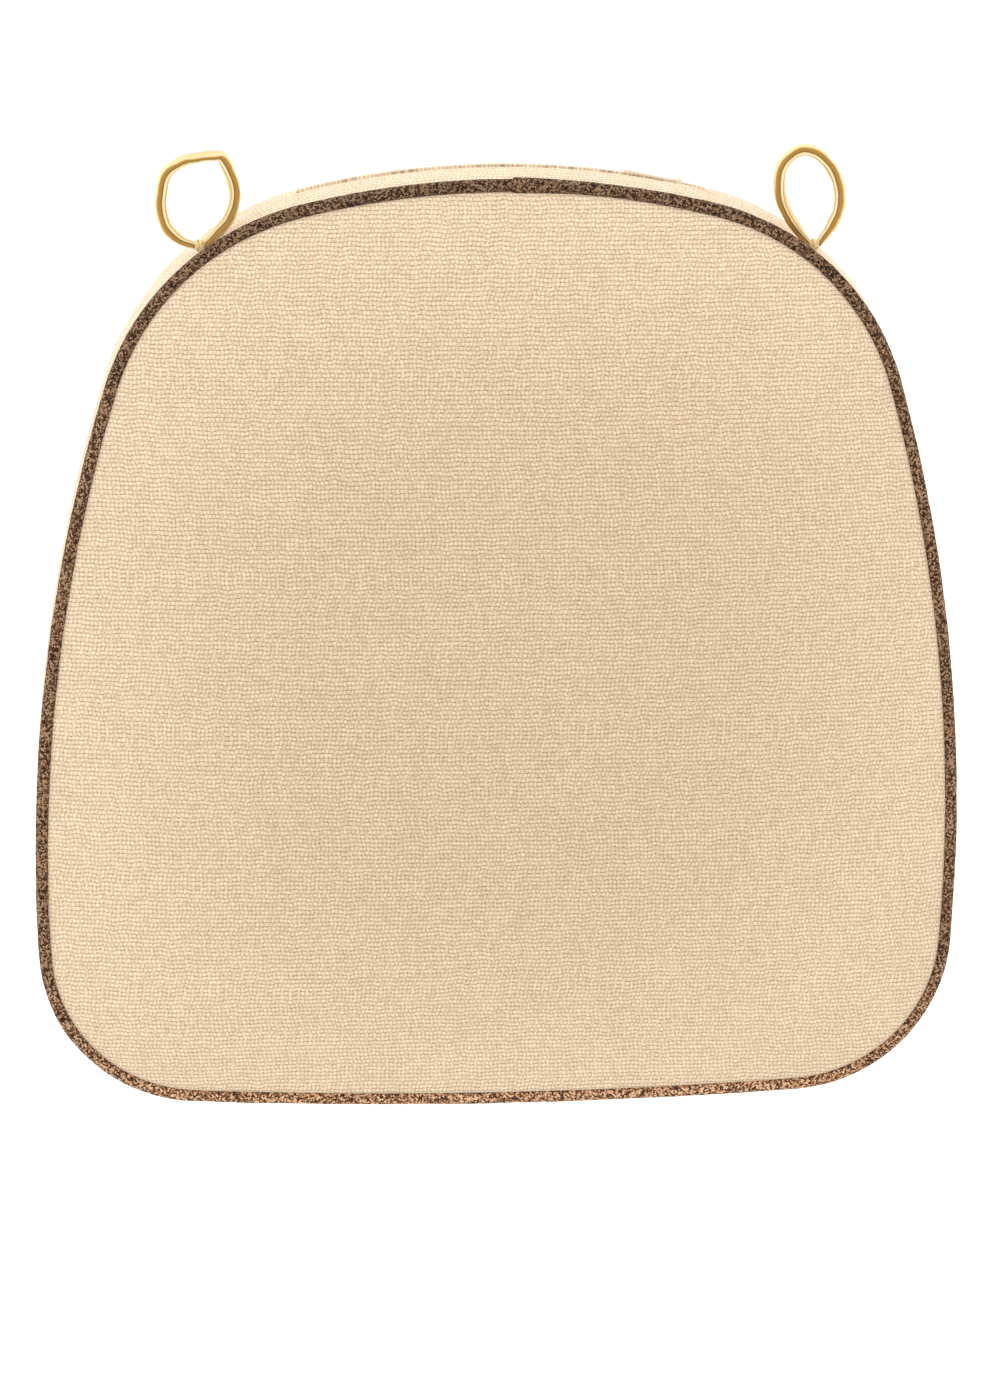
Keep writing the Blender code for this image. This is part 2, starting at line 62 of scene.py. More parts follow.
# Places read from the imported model, in metres
MM = 0.001
SLEEVE_LOW, SLEEVE_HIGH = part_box("piping_sleeve")
PIPING_DIAMETER = round(SLEEVE_HIGH.z - SLEEVE_LOW.z, 3)
PIPING_Z = (SLEEVE_HIGH.z + SLEEVE_LOW.z) / 2
SEAM_WIDTH = round(SLEEVE_HIGH.x - SLEEVE_LOW.x - PIPING_DIAMETER, 3)
SEAM_DEPTH = round(SLEEVE_HIGH.y - SLEEVE_LOW.y - PIPING_DIAMETER, 3)
BOXING_LOW, BOXING_HIGH = (corner.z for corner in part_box("boxing_front"))
PANEL_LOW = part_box("top_panel")[0].z
CHANNEL_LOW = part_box("boxing_rear_lower")[1].z
CHANNEL_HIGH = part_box("boxing_rear_upper")[0].z
ZIP_Z = (CHANNEL_LOW + CHANNEL_HIGH) / 2
REAR_HALF_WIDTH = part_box("boxing_rear_lower")[1].x
PIVOTS = {joint["name"]: joint["pos_m"] for joint in frame["joints"]}
SEAM_INSET = PIPING_DIAMETER / 2 + 0.3 * MM    # from the seam's line in to the cloth beside it


def a_length(name, about, default, **more):
    return FloatProperty(name=name, description=about, default=default, unit="LENGTH",
                         precision=5, **more)


def an_angle(name, about, default):
    return FloatProperty(name=name, description=about, default=default, subtype="ANGLE")


def a_colour(name, about, default, **more):
    return FloatVectorProperty(name=name, description=about, default=default, subtype="COLOR",
                               size=3, **more)


class CoverSettings(bpy.types.PropertyGroup):
    """The woven cover and the outline that every piece follows."""

    front_radius: a_length("Front radius", "Radius of the front edge", 2.3)
    side_radius: a_length("Side radius", "Radius of the two sides", 0.72)
    back_radius: a_length("Back radius", "Radius of the back edge", 0.36)
    front_corner: a_length("Front corner", "Radius of the front corners", 0.067)
    back_corner: a_length("Back corner", "Radius of the back corners", 0.109)
    widest_forward: a_length("Widest place",
                             "How far in front of the middle the cushion is widest", 0.091)
    bulge: a_length("Bulge", "How far the boxing stands out between its seams", 7.8 * MM)
    crown: a_length("Crown", "Rise of the top from its edge to its middle", 13.5 * MM)
    mesh_step: a_length("Mesh step", "Spacing of the points before smoothing", 5.0 * MM)
    pressure: FloatProperty(name="Pressure", description="Pressure of the padding on the cloth",
                            default=4.0, min=0.0)
    most_swell: a_length("Most swell",
                         "The furthest that the padding moves a point of the cloth", 5.0 * MM)
    frames: IntProperty(name="Frames", description="Steps of the cloth simulation", default=20)
    warp_pitch: a_length("Warp pitch", "Spacing of the lengthwise threads", 1.75 * MM)
    weft_pitch: a_length("Weft pitch", "Spacing of the crosswise threads", 1.88 * MM)
    pale_thread: a_colour("Pale thread", "Colour of the palest threads", (1.0, 0.80, 0.57))
    deep_thread: a_colour("Deep thread", "Colour of the deepest threads", (0.70, 0.50, 0.31))
    # Painted shade: darkens the top's middle so that its edges read as more brightly lit.
    painted_middle_shade: a_colour("Sat on", "Shade that use gives the top's middle", (0.885, 0.87, 0.85))
    boxing_tint: a_colour("Boxing tint", "Shade of the cloth's sides", (1.0, 1.0, 1.0))


class PipingSettings(bpy.types.PropertyGroup):
    """The tweed piping round the top seam."""

    wander: a_length("Wander", "How far the piping strays from its line", 0.2 * MM)
    radius: a_length("Radius", "Radius of the piping where it shows", 2.85 * MM)
    stand_out: a_length("Stand out", "How far it is pressed outwards", 0.5 * MM)
    unevenness: FloatProperty(name="Unevenness", description="Share by which its thickness varies",
                              default=0.04, subtype="FACTOR")
    lap_x: a_length("Lap place", "Where along the back its ends overlap", 2.0 * MM)
    lap_growth: FloatProperty(name="Lap growth", description="Share by which the lap is thicker",
                              default=0.24, subtype="FACTOR")
    grain: a_length("Grain", "Spacing of the tweed's threads", 0.75 * MM)
    deep_wool: a_colour("Deep wool", "Colour of the deepest fibres", (0.034, 0.014, 0.006))
    mid_wool: a_colour("Middle wool", "Colour of most fibres", (0.175, 0.086, 0.040))
    pale_wool: a_colour("Pale wool", "Colour of the pale flecks", (0.66, 0.43, 0.25))
    # Painted light: brightens the piping along the front.
    painted_front_light: a_colour("Front tint", "How far use pales the front", (1.85, 1.85, 1.95), max=3.0)


class ZipSettings(bpy.types.PropertyGroup):
    """The zip in the rear boxing and the stitching beside it."""

    tooth_pitch: a_length("Tooth pitch", "Spacing of the coil's turns", 1.15 * MM)
    tooth_width: a_length("Tooth width", "Thickness of the coil's filament", 0.85 * MM)
    stitch_pitch: a_length("Stitch pitch", "Spacing of the stitches", 3.0 * MM)
    stitch_length: a_length("Stitch length", "Length of thread seen in each", 2.5 * MM)
    thread: a_length("Thread", "Thickness of the sewing thread", 0.55 * MM)
    stitch_inset: a_length("Stitch inset",
                           "From the cloth's folded edge to the row of stitches", 2.0 * MM)
    coil_colour: a_colour("Coil", "Colour of the nylon coil", (0.80, 0.70, 0.54))
    tape_colour: a_colour("Tape", "Colour of the zip's tape", (0.86, 0.74, 0.56))
    metal_colour: a_colour("Slider", "Colour of the slider's enamel", (0.88, 0.76, 0.58))


class LoopSettings(bpy.types.PropertyGroup):
    """The two satin loops."""

    width: a_length("Width", "Width of the rolled satin strap", 5.1 * MM)
    thickness: a_length("Thickness", "Thickness of the rolled satin strap", 4.2 * MM)
    groove: a_length("Groove", "Depth of the fold along the strap", 0.8 * MM)
    gold: a_colour("Gold", "Colour of the satin in the fold", (0.45, 0.235, 0.036))
    # Painted highlight along the strap's ridges.
    painted_ridge_highlight: a_colour("Straw", "Colour of the satin along its ridges", (0.90, 0.68, 0.28))
    # Painted highlight: the palest band round the strap, not rubbed satin.
    painted_highlight: a_colour("Cream", "Colour of the satin where it is rubbed", (1.0, 0.87, 0.62))
    # Painted highlight along the strap's outer edge.
    edge: a_colour("Edge", "Colour of the satin along its outer edge", (0.96, 0.75, 0.43))
    peach: a_colour("Peach", "Colour of the strap's under side", (0.86, 0.58, 0.37))


class StageSettings(bpy.types.PropertyGroup):
    """The floor, the lights and the camera."""

    distance: a_length("Distance", "From the camera to the cushion", 2.6)
    tilt: an_angle("Tilt", "How far the camera leans from overhead to the back", radians(15.2))
    swing: an_angle("Swing", "How far the camera leans to the right", radians(-5.71))
    roll: an_angle("Roll", "Turn of the camera about its own line of sight", radians(0.75))
    lens: FloatProperty(name="Lens", description="Focal length in millimetres", default=155.2)
    aim_right: a_length("Aim right", "What the camera points at, to the right", 0.0025)
    aim_up: a_length("Aim up", "What the camera points at, upwards", -0.0314)
    floor_colour: a_colour("Floor", "Colour of the floor", (0.95, 0.95, 0.95))
    sky: FloatProperty(name="Overhead light", description="Brightness straight above", default=0.86)
    horizon: FloatProperty(name="Side light", description="Brightness all round", default=1.32)


# ---------------------------------------------------------------- the outline

def where_circles_meet(first, first_radius, second, second_radius, towards):
    """The crossing of two circles that lies furthest along a direction."""
    between = second - first
    along = (first_radius ** 2 - second_radius ** 2 + between.length ** 2) / (2 * between.length)
    across = sqrt(first_radius ** 2 - along ** 2)
    middle = first + between.normalized() * along
    side = Vector((-between.y, between.x)).normalized() * across
    return max((middle + side, middle - side), key=lambda point: point.dot(towards))


class Outline:
    """The closed line of the top seam: arcs whose points are named by the bearing of their
    outward normal, in degrees from +X, counter-clockwise from the front's middle at -90."""

    def __init__(self, cover):
        front = Vector((0, cover.front_radius - SEAM_DEPTH / 2))
        side = Vector((SEAM_WIDTH / 2 - cover.side_radius, -cover.widest_forward))
        back = Vector((0, SEAM_DEPTH / 2 - cover.back_radius))
        front_corner = where_circles_meet(
            front, cover.front_radius - cover.front_corner,
            side, cover.side_radius - cover.front_corner, Vector((1, -1)))
        back_corner = where_circles_meet(
            back, cover.back_radius - cover.back_corner,
            side, cover.side_radius - cover.back_corner, Vector((1, 1)))

        def bearing(centre, point):
            return degrees(atan2(point.y - centre.y, point.x - centre.x))

        ends = (-90, bearing(front, front_corner), bearing(side, front_corner),
                bearing(side, back_corner), bearing(back, back_corner), 90)
        circles = ((front, cover.front_radius), (front_corner, cover.front_corner),
                   (side, cover.side_radius), (back_corner, cover.back_corner),
                   (back, cover.back_radius))
        right = [(centre, radius, ends[i], ends[i + 1])
                 for i, (centre, radius) in enumerate(circles)]
        left = [(Vector((-centre.x, centre.y)), radius, 180 - stop, 180 - start)
                for centre, radius, start, stop in reversed(right)]
        self.arcs = right + left
        self.back_corner_centre = back_corner
        lengths = [radians(stop - start) * radius for _, radius, start, stop in self.arcs]
        self.corner_lengths = [0.0]
        for length in lengths:
            self.corner_lengths.append(self.corner_lengths[-1] + length)
        self.length = self.corner_lengths[-1]
        self.corner_bearings = [self.arcs[0][2]] + [arc[3] for arc in self.arcs]

    def point(self, bearing, offset=0.0):
        """The point at a bearing, moved outwards by an offset."""
        bearing = (bearing + 90) % 360 - 90
        for centre, radius, start, stop in self.arcs:
            if start <= bearing <= stop:
                turn, reach = radians(bearing), radius + offset
                return Vector((centre.x + reach * cos(turn), centre.y + reach * sin(turn)))
        raise ValueError(bearing)

    def length_at(self, bearing):
        """The length along the seam from the front's middle to a bearing."""
        return float(np.interp(bearing, self.corner_bearings, self.corner_lengths))

    def bearing_at(self, length):
        """The bearing at a length along the seam from the front's middle."""
        return float(np.interp(length % self.length, self.corner_lengths, self.corner_bearings))


def back_bearing(half_width, offset):
    """The bearing on the back edge's right at which a face lies this far from the middle."""
    return degrees(acos(half_width / (cover_settings().back_radius + offset)))


def cover_settings():
    return bpy.context.scene.cushion_cover


def boxing_share(z):
    """How far up the boxing a height lies, from 0 at its lower seam to 1."""
    return min(max((z - BOXING_LOW) / (BOXING_HIGH - BOXING_LOW), 0), 1)


def boxing_offset(z):
    """Outward offset of the boxing's outer face at a height: it bulges between its two seams."""
    return cover_settings().bulge * sin(pi * boxing_share(z)) ** 0.6 - SEAM_INSET


def reach_by_turn(points):
    """The directions of points seen from the middle, in order, and how far out each lies."""
    turns = np.array([atan2(point.y, point.x) for point in points])
    order = np.argsort(turns)
    return turns[order], np.array([point.length for point in points])[order]


def loop_seams(outline):
    """The bearings of the boxing's two seams that hold the loops, right then left."""
    found = []
    for side, mirror in (("right", 1), ("left", -1)):
        x, y, _ = PIVOTS[side + "_loop_swing"]
        centre = outline.back_corner_centre
        bearing = degrees(atan2(y - centre.y, x * mirror - centre.x))
        found.append(bearing if mirror == 1 else 180 - bearing)
    return found


def zip_ends():
    """The bearings between which the rear strips hold the zip."""
    right = back_bearing(REAR_HALF_WIDTH, boxing_offset(CHANNEL_LOW))
    return right, 180 - right


# ---------------------------------------------------------------- node trees

def operation(name):
    def method(self, *values, clamp=False):
        return self.math(name, *values, clamp=clamp)
    return method


class Nodes:
    """Adds nodes to a tree and joins them up."""

    def __init__(self, tree):
        self.tree = tree

    def feed(self, socket, value):
        if isinstance(value, bpy.types.NodeSocket):
            self.tree.links.new(value, socket)
        else:
            socket.default_value = value

    def add(self, kind, inputs=None, **fields):
        node = self.tree.nodes.new(kind)
        for field, value in fields.items():
            setattr(node, field, value)
        for name, value in (inputs or {}).items():
            self.feed(node.inputs[name], value)
        return node

    def math(self, operation, *values, clamp=False):
        node = self.add("ShaderNodeMath", operation=operation, use_clamp=clamp)
        for socket, value in zip(node.inputs, values):
            self.feed(socket, value)
        return node.outputs[0]

    plus, minus, times = operation("ADD"), operation("SUBTRACT"), operation("MULTIPLY")
    ratio, scaled = operation("DIVIDE"), operation("MULTIPLY_ADD")

    def mix(self, share, first, second, blend="MIX"):
        node = self.add("ShaderNodeMix", data_type="RGBA", blend_type=blend)
        for index, value in ((0, share), (6, first), (7, second)):
            self.feed(node.inputs[index], value)
        return node.outputs[2]

    def ramp(self, value, stops):
        node = self.add("ShaderNodeValToRGB", {"Fac": value})
        elements = node.color_ramp.elements
        while len(elements) < len(stops):
            elements.new(1.0)
        for element, (position, colour) in zip(elements, stops):
            element.position = position
            element.color = (*colour, 1)
        return node.outputs["Color"]

    def grey_ramp(self, value, stops):
        return self.ramp(value, [(position, (level,) * 3) for position, level in stops])

    def noise(self, vector, scale, detail=2.0, roughness=0.5):
        return self.add("ShaderNodeTexNoise", {"Vector": vector, "Scale": scale, "Detail": detail,
                                               "Roughness": roughness}).outputs["Fac"]

    def place(self, vector, scale=(1, 1, 1), turn=0.0):
        return self.add("ShaderNodeMapping", {"Vector": vector, "Scale": scale,
                                              "Rotation": (0, 0, turn)}).outputs[0]

    def xyz(self, vector):
        return self.add("ShaderNodeSeparateXYZ", {"Vector": vector}).outputs

    def vector(self, x, y, z=0.0):
        return self.add("ShaderNodeCombineXYZ", {"X": x, "Y": y, "Z": z}).outputs[0]

    def group(self, tree, inputs):
        node = self.add("ShaderNodeGroup")
        node.node_tree = tree
        for name, value in inputs.items():
            self.feed(node.inputs[name], value)
        return node.outputs

    def multiplied(self, first, second):
        return self.mix(1.0, first, second, "MULTIPLY")

    def from_object(self):
        return self.add("ShaderNodeTexCoord").outputs["Object"]

    def from_uv(self):
        return self.add("ShaderNodeUVMap", uv_map="cloth").outputs["UV"]

    def bump(self, height, distance, strength=1.0):
        return self.add("ShaderNodeBump", {"Height": height, "Distance": distance,
                                           "Strength": strength}).outputs["Normal"]


def new_group(name, kind, inputs, outputs):
    """A node group with named sockets, its Nodes helper, and the inner ends of its sockets."""
    tree = bpy.data.node_groups.new(name, kind)
    for socket, socket_kind, default in inputs:
        made = tree.interface.new_socket(socket, in_out="INPUT", socket_type=socket_kind)
        if default is not None:
            made.default_value = default
    for socket, socket_kind in outputs:
        tree.interface.new_socket(socket, in_out="OUTPUT", socket_type=socket_kind)
    nodes = Nodes(tree)
    return tree, nodes, nodes.add("NodeGroupInput").outputs, nodes.add("NodeGroupOutput").inputs


VALUE, VECTOR = "NodeSocketFloat", "NodeSocketVector"


def plain_weave_group():
    """Threads that pass over and under each other one by one, each with its own tone."""
    tree, nodes, given, made = new_group(
        "Plain weave", "ShaderNodeTree",
        (("Vector", VECTOR, None), ("Warp pitch", VALUE, 0.0017), ("Weft pitch", VALUE, 0.0019),
         ("Slub length", VALUE, 0.006), ("Crookedness", VALUE, 1.1), ("Warp level", VALUE, 0.85),
         ("Cell share", VALUE, 0.3)),
        (("Height", VALUE), ("Tone", VALUE)))
    across, up, _ = nodes.xyz(given["Vector"])
    bends = []
    for scale in ((45, 160, 1), (160, 45, 1)):
        wave = nodes.noise(nodes.place(given["Vector"], scale), 1.0, 1.0)
        bends.append(nodes.times(nodes.minus(wave, 0.5), given["Crookedness"]))
    y = nodes.plus(nodes.ratio(up, given["Weft pitch"]), bends[1])
    row = nodes.math("FLOOR", y)
    shift = nodes.add("ShaderNodeTexWhiteNoise", {"W": row}, noise_dimensions="1D")
    shift = nodes.times(shift.outputs["Value"], given["Crookedness"])
    x = nodes.plus(nodes.ratio(across, given["Warp pitch"]), nodes.plus(bends[0], shift))
    column = nodes.math("FLOOR", x)
    rounds = []
    for place, cell in ((x, column), (y, row)):
        from_middle = nodes.minus(nodes.minus(place, cell), 0.5)
        rounds.append(nodes.math("COSINE", nodes.times(from_middle, pi)))
    over = nodes.math("FLOORED_MODULO", nodes.plus(column, row), 2.0)
    column_round, row_round = rounds
    column_body, row_body = (nodes.math("POWER", nodes.math("MAXIMUM", round_, 0.0), 0.65)
                             for round_ in rounds)
    weft = nodes.times(row_body, nodes.scaled(column_round, 0.5, 0.5))
    warp = nodes.times(nodes.scaled(column_body, 0.7, 0.3), nodes.scaled(row_round, 0.5, 0.5))
    heights = (nodes.times(warp, given["Warp level"]), weft)
    slub = nodes.ratio(1.0, given["Slub length"])
    tones = []
    for along, thread in ((up, column), (across, row)):
        spot = nodes.vector(nodes.times(along, slub), nodes.times(thread, 3.7), 5.0)
        tones.append(nodes.noise(spot, 1.0, 2.0, 0.6))
    cell_tone = nodes.add("ShaderNodeTexWhiteNoise", {"Vector": nodes.vector(column, row)},
                          noise_dimensions="2D").outputs["Value"]

    def pick(first, second):
        gap = nodes.minus(second, first)
        return nodes.plus(first, nodes.times(gap, over))

    slow = nodes.times(pick(*tones), nodes.minus(1.0, given["Cell share"]))
    tone = nodes.scaled(cell_tone, given["Cell share"], slow)
    nodes.feed(made["Height"], pick(*heights))
    nodes.feed(made["Tone"], tone)
    return tree


def heather_group():
    """Fibres of several tones carded together, and the slow unevenness of dyed cloth."""
    tree, nodes, given, made = new_group(
        "Heathered fibres", "ShaderNodeTree",
        (("Vector", VECTOR, None), ("Fibre size", VALUE, 0.0006), ("Patch size", VALUE, 0.03)),
        (("Fibre", VALUE), ("Patch", VALUE)))
    fine = nodes.ratio(1.0, given["Fibre size"])
    coarse = nodes.ratio(1.0, given["Patch size"])
    nodes.feed(made["Fibre"], nodes.noise(given["Vector"], fine, 3.0, 0.65))
    nodes.feed(made["Patch"], nodes.noise(given["Vector"], coarse, 3.0, 0.55))
    return tree


def worn_edges_group():
    """A mask of the places where hands rub an edge bright."""
    tree, nodes, given, made = new_group(
        "Worn edges", "ShaderNodeTree",
        (("Vector", VECTOR, None), ("Radius", VALUE, 0.0004), ("Grain size", VALUE, 0.0008)),
        (("Mask", VALUE),))
    bevel = nodes.add("ShaderNodeBevel", {"Radius": given["Radius"]}, samples=6)
    geometry = nodes.add("ShaderNodeNewGeometry")
    alike = nodes.add("ShaderNodeVectorMath", operation="DOT_PRODUCT")
    nodes.feed(alike.inputs[0], bevel.outputs["Normal"])
    nodes.feed(alike.inputs[1], geometry.outputs["Normal"])
    edge = nodes.minus(1.0, alike.outputs["Value"])
    rubbed = nodes.times(edge, 6.0, clamp=True)
    grain = nodes.noise(given["Vector"], nodes.ratio(1.0, given["Grain size"]), 3.0)
    nodes.feed(made["Mask"], nodes.times(rubbed, nodes.plus(grain, 0.4), clamp=True))
    return tree


GROUP_MAKERS = {"Plain weave": plain_weave_group, "Heathered fibres": heather_group,
                "Worn edges": worn_edges_group}


def shared_group(name):
    return bpy.data.node_groups.get(name) or GROUP_MAKERS[name]()


def new_material(name, roughness, metallic=0.0, **constants):
    """A material, its Nodes helper and its Principled shader's inputs."""
    made = bpy.data.materials.new(name)
    made.use_nodes = True
    shader = made.node_tree.nodes["Principled BSDF"]
    shader.inputs["Roughness"].default_value = roughness
    shader.inputs["Metallic"].default_value = metallic
    for socket, value in constants.items():
        shader.inputs[socket.replace("_", " ")].default_value = value
    return made, Nodes(made.node_tree), shader.inputs


def shaded(colour, level):
    return tuple(min(1.0, channel * level) for channel in colour)


def opaque(colour, level=1.0):
    return (*shaded(colour, level), 1)


def heathered(nodes, vector, fibre_size, patch_size):
    """The fine and the slow unevenness of a finish: its Fibre and Patch values."""
    return nodes.group(shared_group("Heathered fibres"), {
        "Vector": vector, "Fibre size": fibre_size, "Patch size": patch_size})


def cover_cloth():
    """Coarse plain weave with slubs along the weft, with painted shade darkening the top's middle
    so that its edges read lighter.
    """
    cover = cover_settings()
    made, nodes, shader = new_material("cover_cloth", 0.88, Sheen_Weight=0.15,
                                       Sheen_Roughness=0.5, Specular_IOR_Level=0.2)
    uv = nodes.from_uv()
    weave = nodes.group(shared_group("Plain weave"), {
        "Vector": uv, "Warp pitch": cover.warp_pitch, "Weft pitch": cover.weft_pitch})
    heather = heathered(nodes, uv, 0.9 * MM, 22 * MM)
    tone = nodes.scaled(heather["Fibre"], 1.4, nodes.scaled(weave["Tone"], 0.42, -0.41))
    yarn = nodes.ramp(tone, ((0.28, cover.deep_thread), (0.68, cover.pale_thread)))
    patch = nodes.grey_ramp(heather["Patch"], ((0.3, 0.965), (0.7, 1.0)))
    # Painted shade: darkens the gaps between the threads.
    painted_gap_shade = nodes.grey_ramp(weave["Height"], ((0.1, 0.34), (0.42, 0.78), (0.85, 1.0)))
    x, y, z = nodes.xyz(nodes.from_object())
    across = nodes.ratio(x, SEAM_WIDTH / 2)
    deep = nodes.ratio(y, SEAM_DEPTH / 2)
    reach = nodes.plus(nodes.math("POWER", nodes.math("ABSOLUTE", across), 2.6),
                       nodes.math("POWER", nodes.math("ABSOLUTE", deep), 2.6))
    # Painted shade, darkest in the top's middle and fading out towards its edges.
    painted_middle_shade = nodes.ramp(reach, ((0.1, cover.painted_middle_shade), (0.45, (0.945, 0.94, 0.93)),
                                (0.85, (1, 1, 1))))
    on_top = nodes.scaled(z, 1 / (3 * MM), -PIPING_Z / (3 * MM), clamp=True)
    kept = nodes.mix(on_top, (*cover.boxing_tint, 1), painted_middle_shade)
    shade = nodes.multiplied(nodes.multiplied(yarn, patch), painted_gap_shade)
    # Painted light: the boxing below the top seam is mixed 12% towards pale cream, so the sides
    # read more brightly lit than the top.
    pale = nodes.mix(nodes.scaled(on_top, -0.12, 0.12), shade, (1.0, 0.94, 0.84, 1))
    nodes.feed(shader["Base Color"], nodes.multiplied(pale, kept))
    height = nodes.scaled(heather["Fibre"], 0.25, nodes.scaled(weave["Tone"], 0.4, weave["Height"]))
    nodes.feed(shader["Normal"], nodes.bump(height, 0.35 * MM, 0.7))
    return made


def piping_tweed():
    """Brown tweed cut on the bias, so its threads cross the piping slantwise."""
    piping = bpy.context.scene.cushion_piping
    made, nodes, shader = new_material("piping_tweed", 0.92, Sheen_Weight=0.04,
                                       Sheen_Roughness=0.5, Specular_IOR_Level=0.15)
    uv = nodes.from_uv()
    slanted = nodes.place(uv, turn=radians(45))
    weave = nodes.group(shared_group("Plain weave"), {
        "Vector": slanted, "Warp pitch": piping.grain, "Weft pitch": piping.grain,
        "Slub length": 3 * MM, "Crookedness": 0.7, "Warp level": 0.9, "Cell share": 0.55})
    heather = heathered(nodes, uv, 0.42 * MM, 16 * MM)
    tone = nodes.scaled(heather["Fibre"], 1.15, nodes.scaled(weave["Tone"], 1.3, -0.72))
    yarn = nodes.ramp(tone, ((0.25, piping.deep_wool), (0.44, piping.mid_wool),
                             (0.60, shaded(piping.mid_wool, 2.2)), (0.78, piping.pale_wool)))
    patch = nodes.grey_ramp(heather["Patch"], ((0.3, 0.75), (0.7, 1.0)))
    # Painted shade: darkens the gaps between the threads.
    painted_gap_shade = nodes.grey_ramp(weave["Height"], ((0.0, 0.22), (0.4, 0.85), (0.85, 1.0)))
    # Painted light and shade, not wear: the piping is brightened along its front and darkened
    # towards its back.
    back = nodes.scaled(nodes.xyz(nodes.from_object())[1], 1 / SEAM_DEPTH, 0.5)
    light = nodes.grey_ramp(back, ((0.0, 1.0), (0.15, 0.52), (0.7, 0.50), (1.0, 0.36)))
    rubbed = nodes.multiplied(light, (*piping.painted_front_light, 1))
    shade = nodes.multiplied(nodes.multiplied(yarn, patch), painted_gap_shade)
    nodes.feed(shader["Base Color"], nodes.multiplied(shade, rubbed))
    height = nodes.scaled(heather["Fibre"], 0.6, weave["Height"])
    nodes.feed(shader["Normal"], nodes.bump(height, 0.4 * MM, 0.9))
    return made


def loop_satin():
    """Gold satin rolled into a strap, with painted shade deep in its fold, painted highlights along
    its ridges and outer edge, and peach below.
    Its UV map gives the length along the strap and the turn round it from the fold."""
    loops = bpy.context.scene.cushion_loops
    made, nodes, shader = new_material("loop_satin", 0.34, Sheen_Weight=0.05,
                                       Sheen_Roughness=0.35, Specular_IOR_Level=0.35,
                                       Anisotropic=0.5)
    uv = nodes.from_uv()
    _, turn, _ = nodes.xyz(uv)
    ripple = nodes.noise(nodes.place(uv, (260, 3, 1)), 1.0, 2.0)
    place = nodes.scaled(nodes.minus(ripple, 0.5), 0.05, turn)
    # Painted light round the strap: shade in the fold (gold at 0.55), highlights on the ridges and
    # edge, and lighter copies of the gold; the gold and the peach are the satin's own colours.
    deep = shaded(loops.gold, 0.55)
    satin_colour_and_painted_light = nodes.ramp(place, (
        (0.0, loops.peach), (0.25, loops.peach), (0.30, loops.painted_ridge_highlight), (0.36, loops.edge),
        (0.395, loops.edge), (0.415, shaded(loops.gold, 1.3)), (0.45, loops.gold),
        (0.515, shaded(loops.gold, 0.9)), (0.53, deep), (0.543, deep), (0.56, loops.painted_ridge_highlight),
        (0.60, loops.painted_highlight), (0.635, shaded(loops.gold, 1.4)), (0.68, loops.painted_ridge_highlight),
        (0.80, loops.peach), (1.0, loops.peach)))
    strands = nodes.noise(nodes.place(uv, (60, 22, 1)), 1.0, 3.0, 0.7)
    strand_shade = nodes.grey_ramp(strands, ((0.3, 0.82), (0.7, 1.0)))
    nodes.feed(shader["Base Color"], nodes.multiplied(satin_colour_and_painted_light, strand_shade))
    puckers = nodes.noise(nodes.place(uv, (520, 2.2, 1)), 1.0, 2.0, 0.6)
    height = nodes.scaled(strands, 0.35, puckers)
    nodes.feed(shader["Normal"], nodes.bump(height, 0.3 * MM, 0.7))
    nodes.feed(shader["Roughness"], nodes.scaled(puckers, 0.2, 0.26))
    return made


def zip_nylon():
    """Dull moulded nylon, paler where it has been rubbed."""
    zip_settings = bpy.context.scene.cushion_zip
    made, nodes, shader = new_material("zip_nylon", 0.38, Coat_Roughness=0.3,
                                       Specular_IOR_Level=0.5)
    spot = nodes.from_object()
    heather = heathered(nodes, spot, 0.6 * MM, 12 * MM)
    worn = nodes.group(shared_group("Worn edges"), {"Vector": spot, "Radius": 0.2 * MM})
    plain = nodes.mix(heather["Patch"], opaque(zip_settings.coil_colour, 0.8),
                      opaque(zip_settings.coil_colour))
    rubbed = opaque(zip_settings.coil_colour, 1.3)
    nodes.feed(shader["Base Color"], nodes.mix(worn["Mask"], plain, rubbed))
    nodes.feed(shader["Roughness"], nodes.scaled(heather["Fibre"], 0.3, 0.25))
    nodes.feed(shader["Normal"], nodes.bump(heather["Fibre"], 0.05 * MM, 0.5))
    return made


def zip_tape_cloth():
    """Close twill tape."""
    zip_settings = bpy.context.scene.cushion_zip
    made, nodes, shader = new_material("zip_tape_cloth", 0.85, Sheen_Weight=0.15,
                                       Specular_IOR_Level=0.3)
    x, y, z = nodes.xyz(nodes.from_object())
    spot = nodes.vector(x, z, y)
    slanted = nodes.place(spot, turn=radians(30))
    weave = nodes.group(shared_group("Plain weave"), {
        "Vector": slanted, "Warp pitch": 0.55 * MM, "Weft pitch": 0.4 * MM,
        "Slub length": 5 * MM, "Crookedness": 0.1, "Warp level": 0.9})
    heather = heathered(nodes, spot, 0.3 * MM, 18 * MM)
    tone = nodes.scaled(weave["Tone"], 0.6, nodes.times(heather["Patch"], 0.4))
    yarn = nodes.ramp(tone, ((0.3, shaded(zip_settings.tape_colour, 0.75)),
                             (0.7, zip_settings.tape_colour)))
    # Painted shade: darkens the gaps between the threads.
    painted_gap_shade = nodes.grey_ramp(weave["Height"], ((0.1, 0.6), (0.6, 1.0)))
    nodes.feed(shader["Base Color"], nodes.multiplied(yarn, painted_gap_shade))
    nodes.feed(shader["Normal"], nodes.bump(weave["Height"], 0.12 * MM, 0.8))
    return made


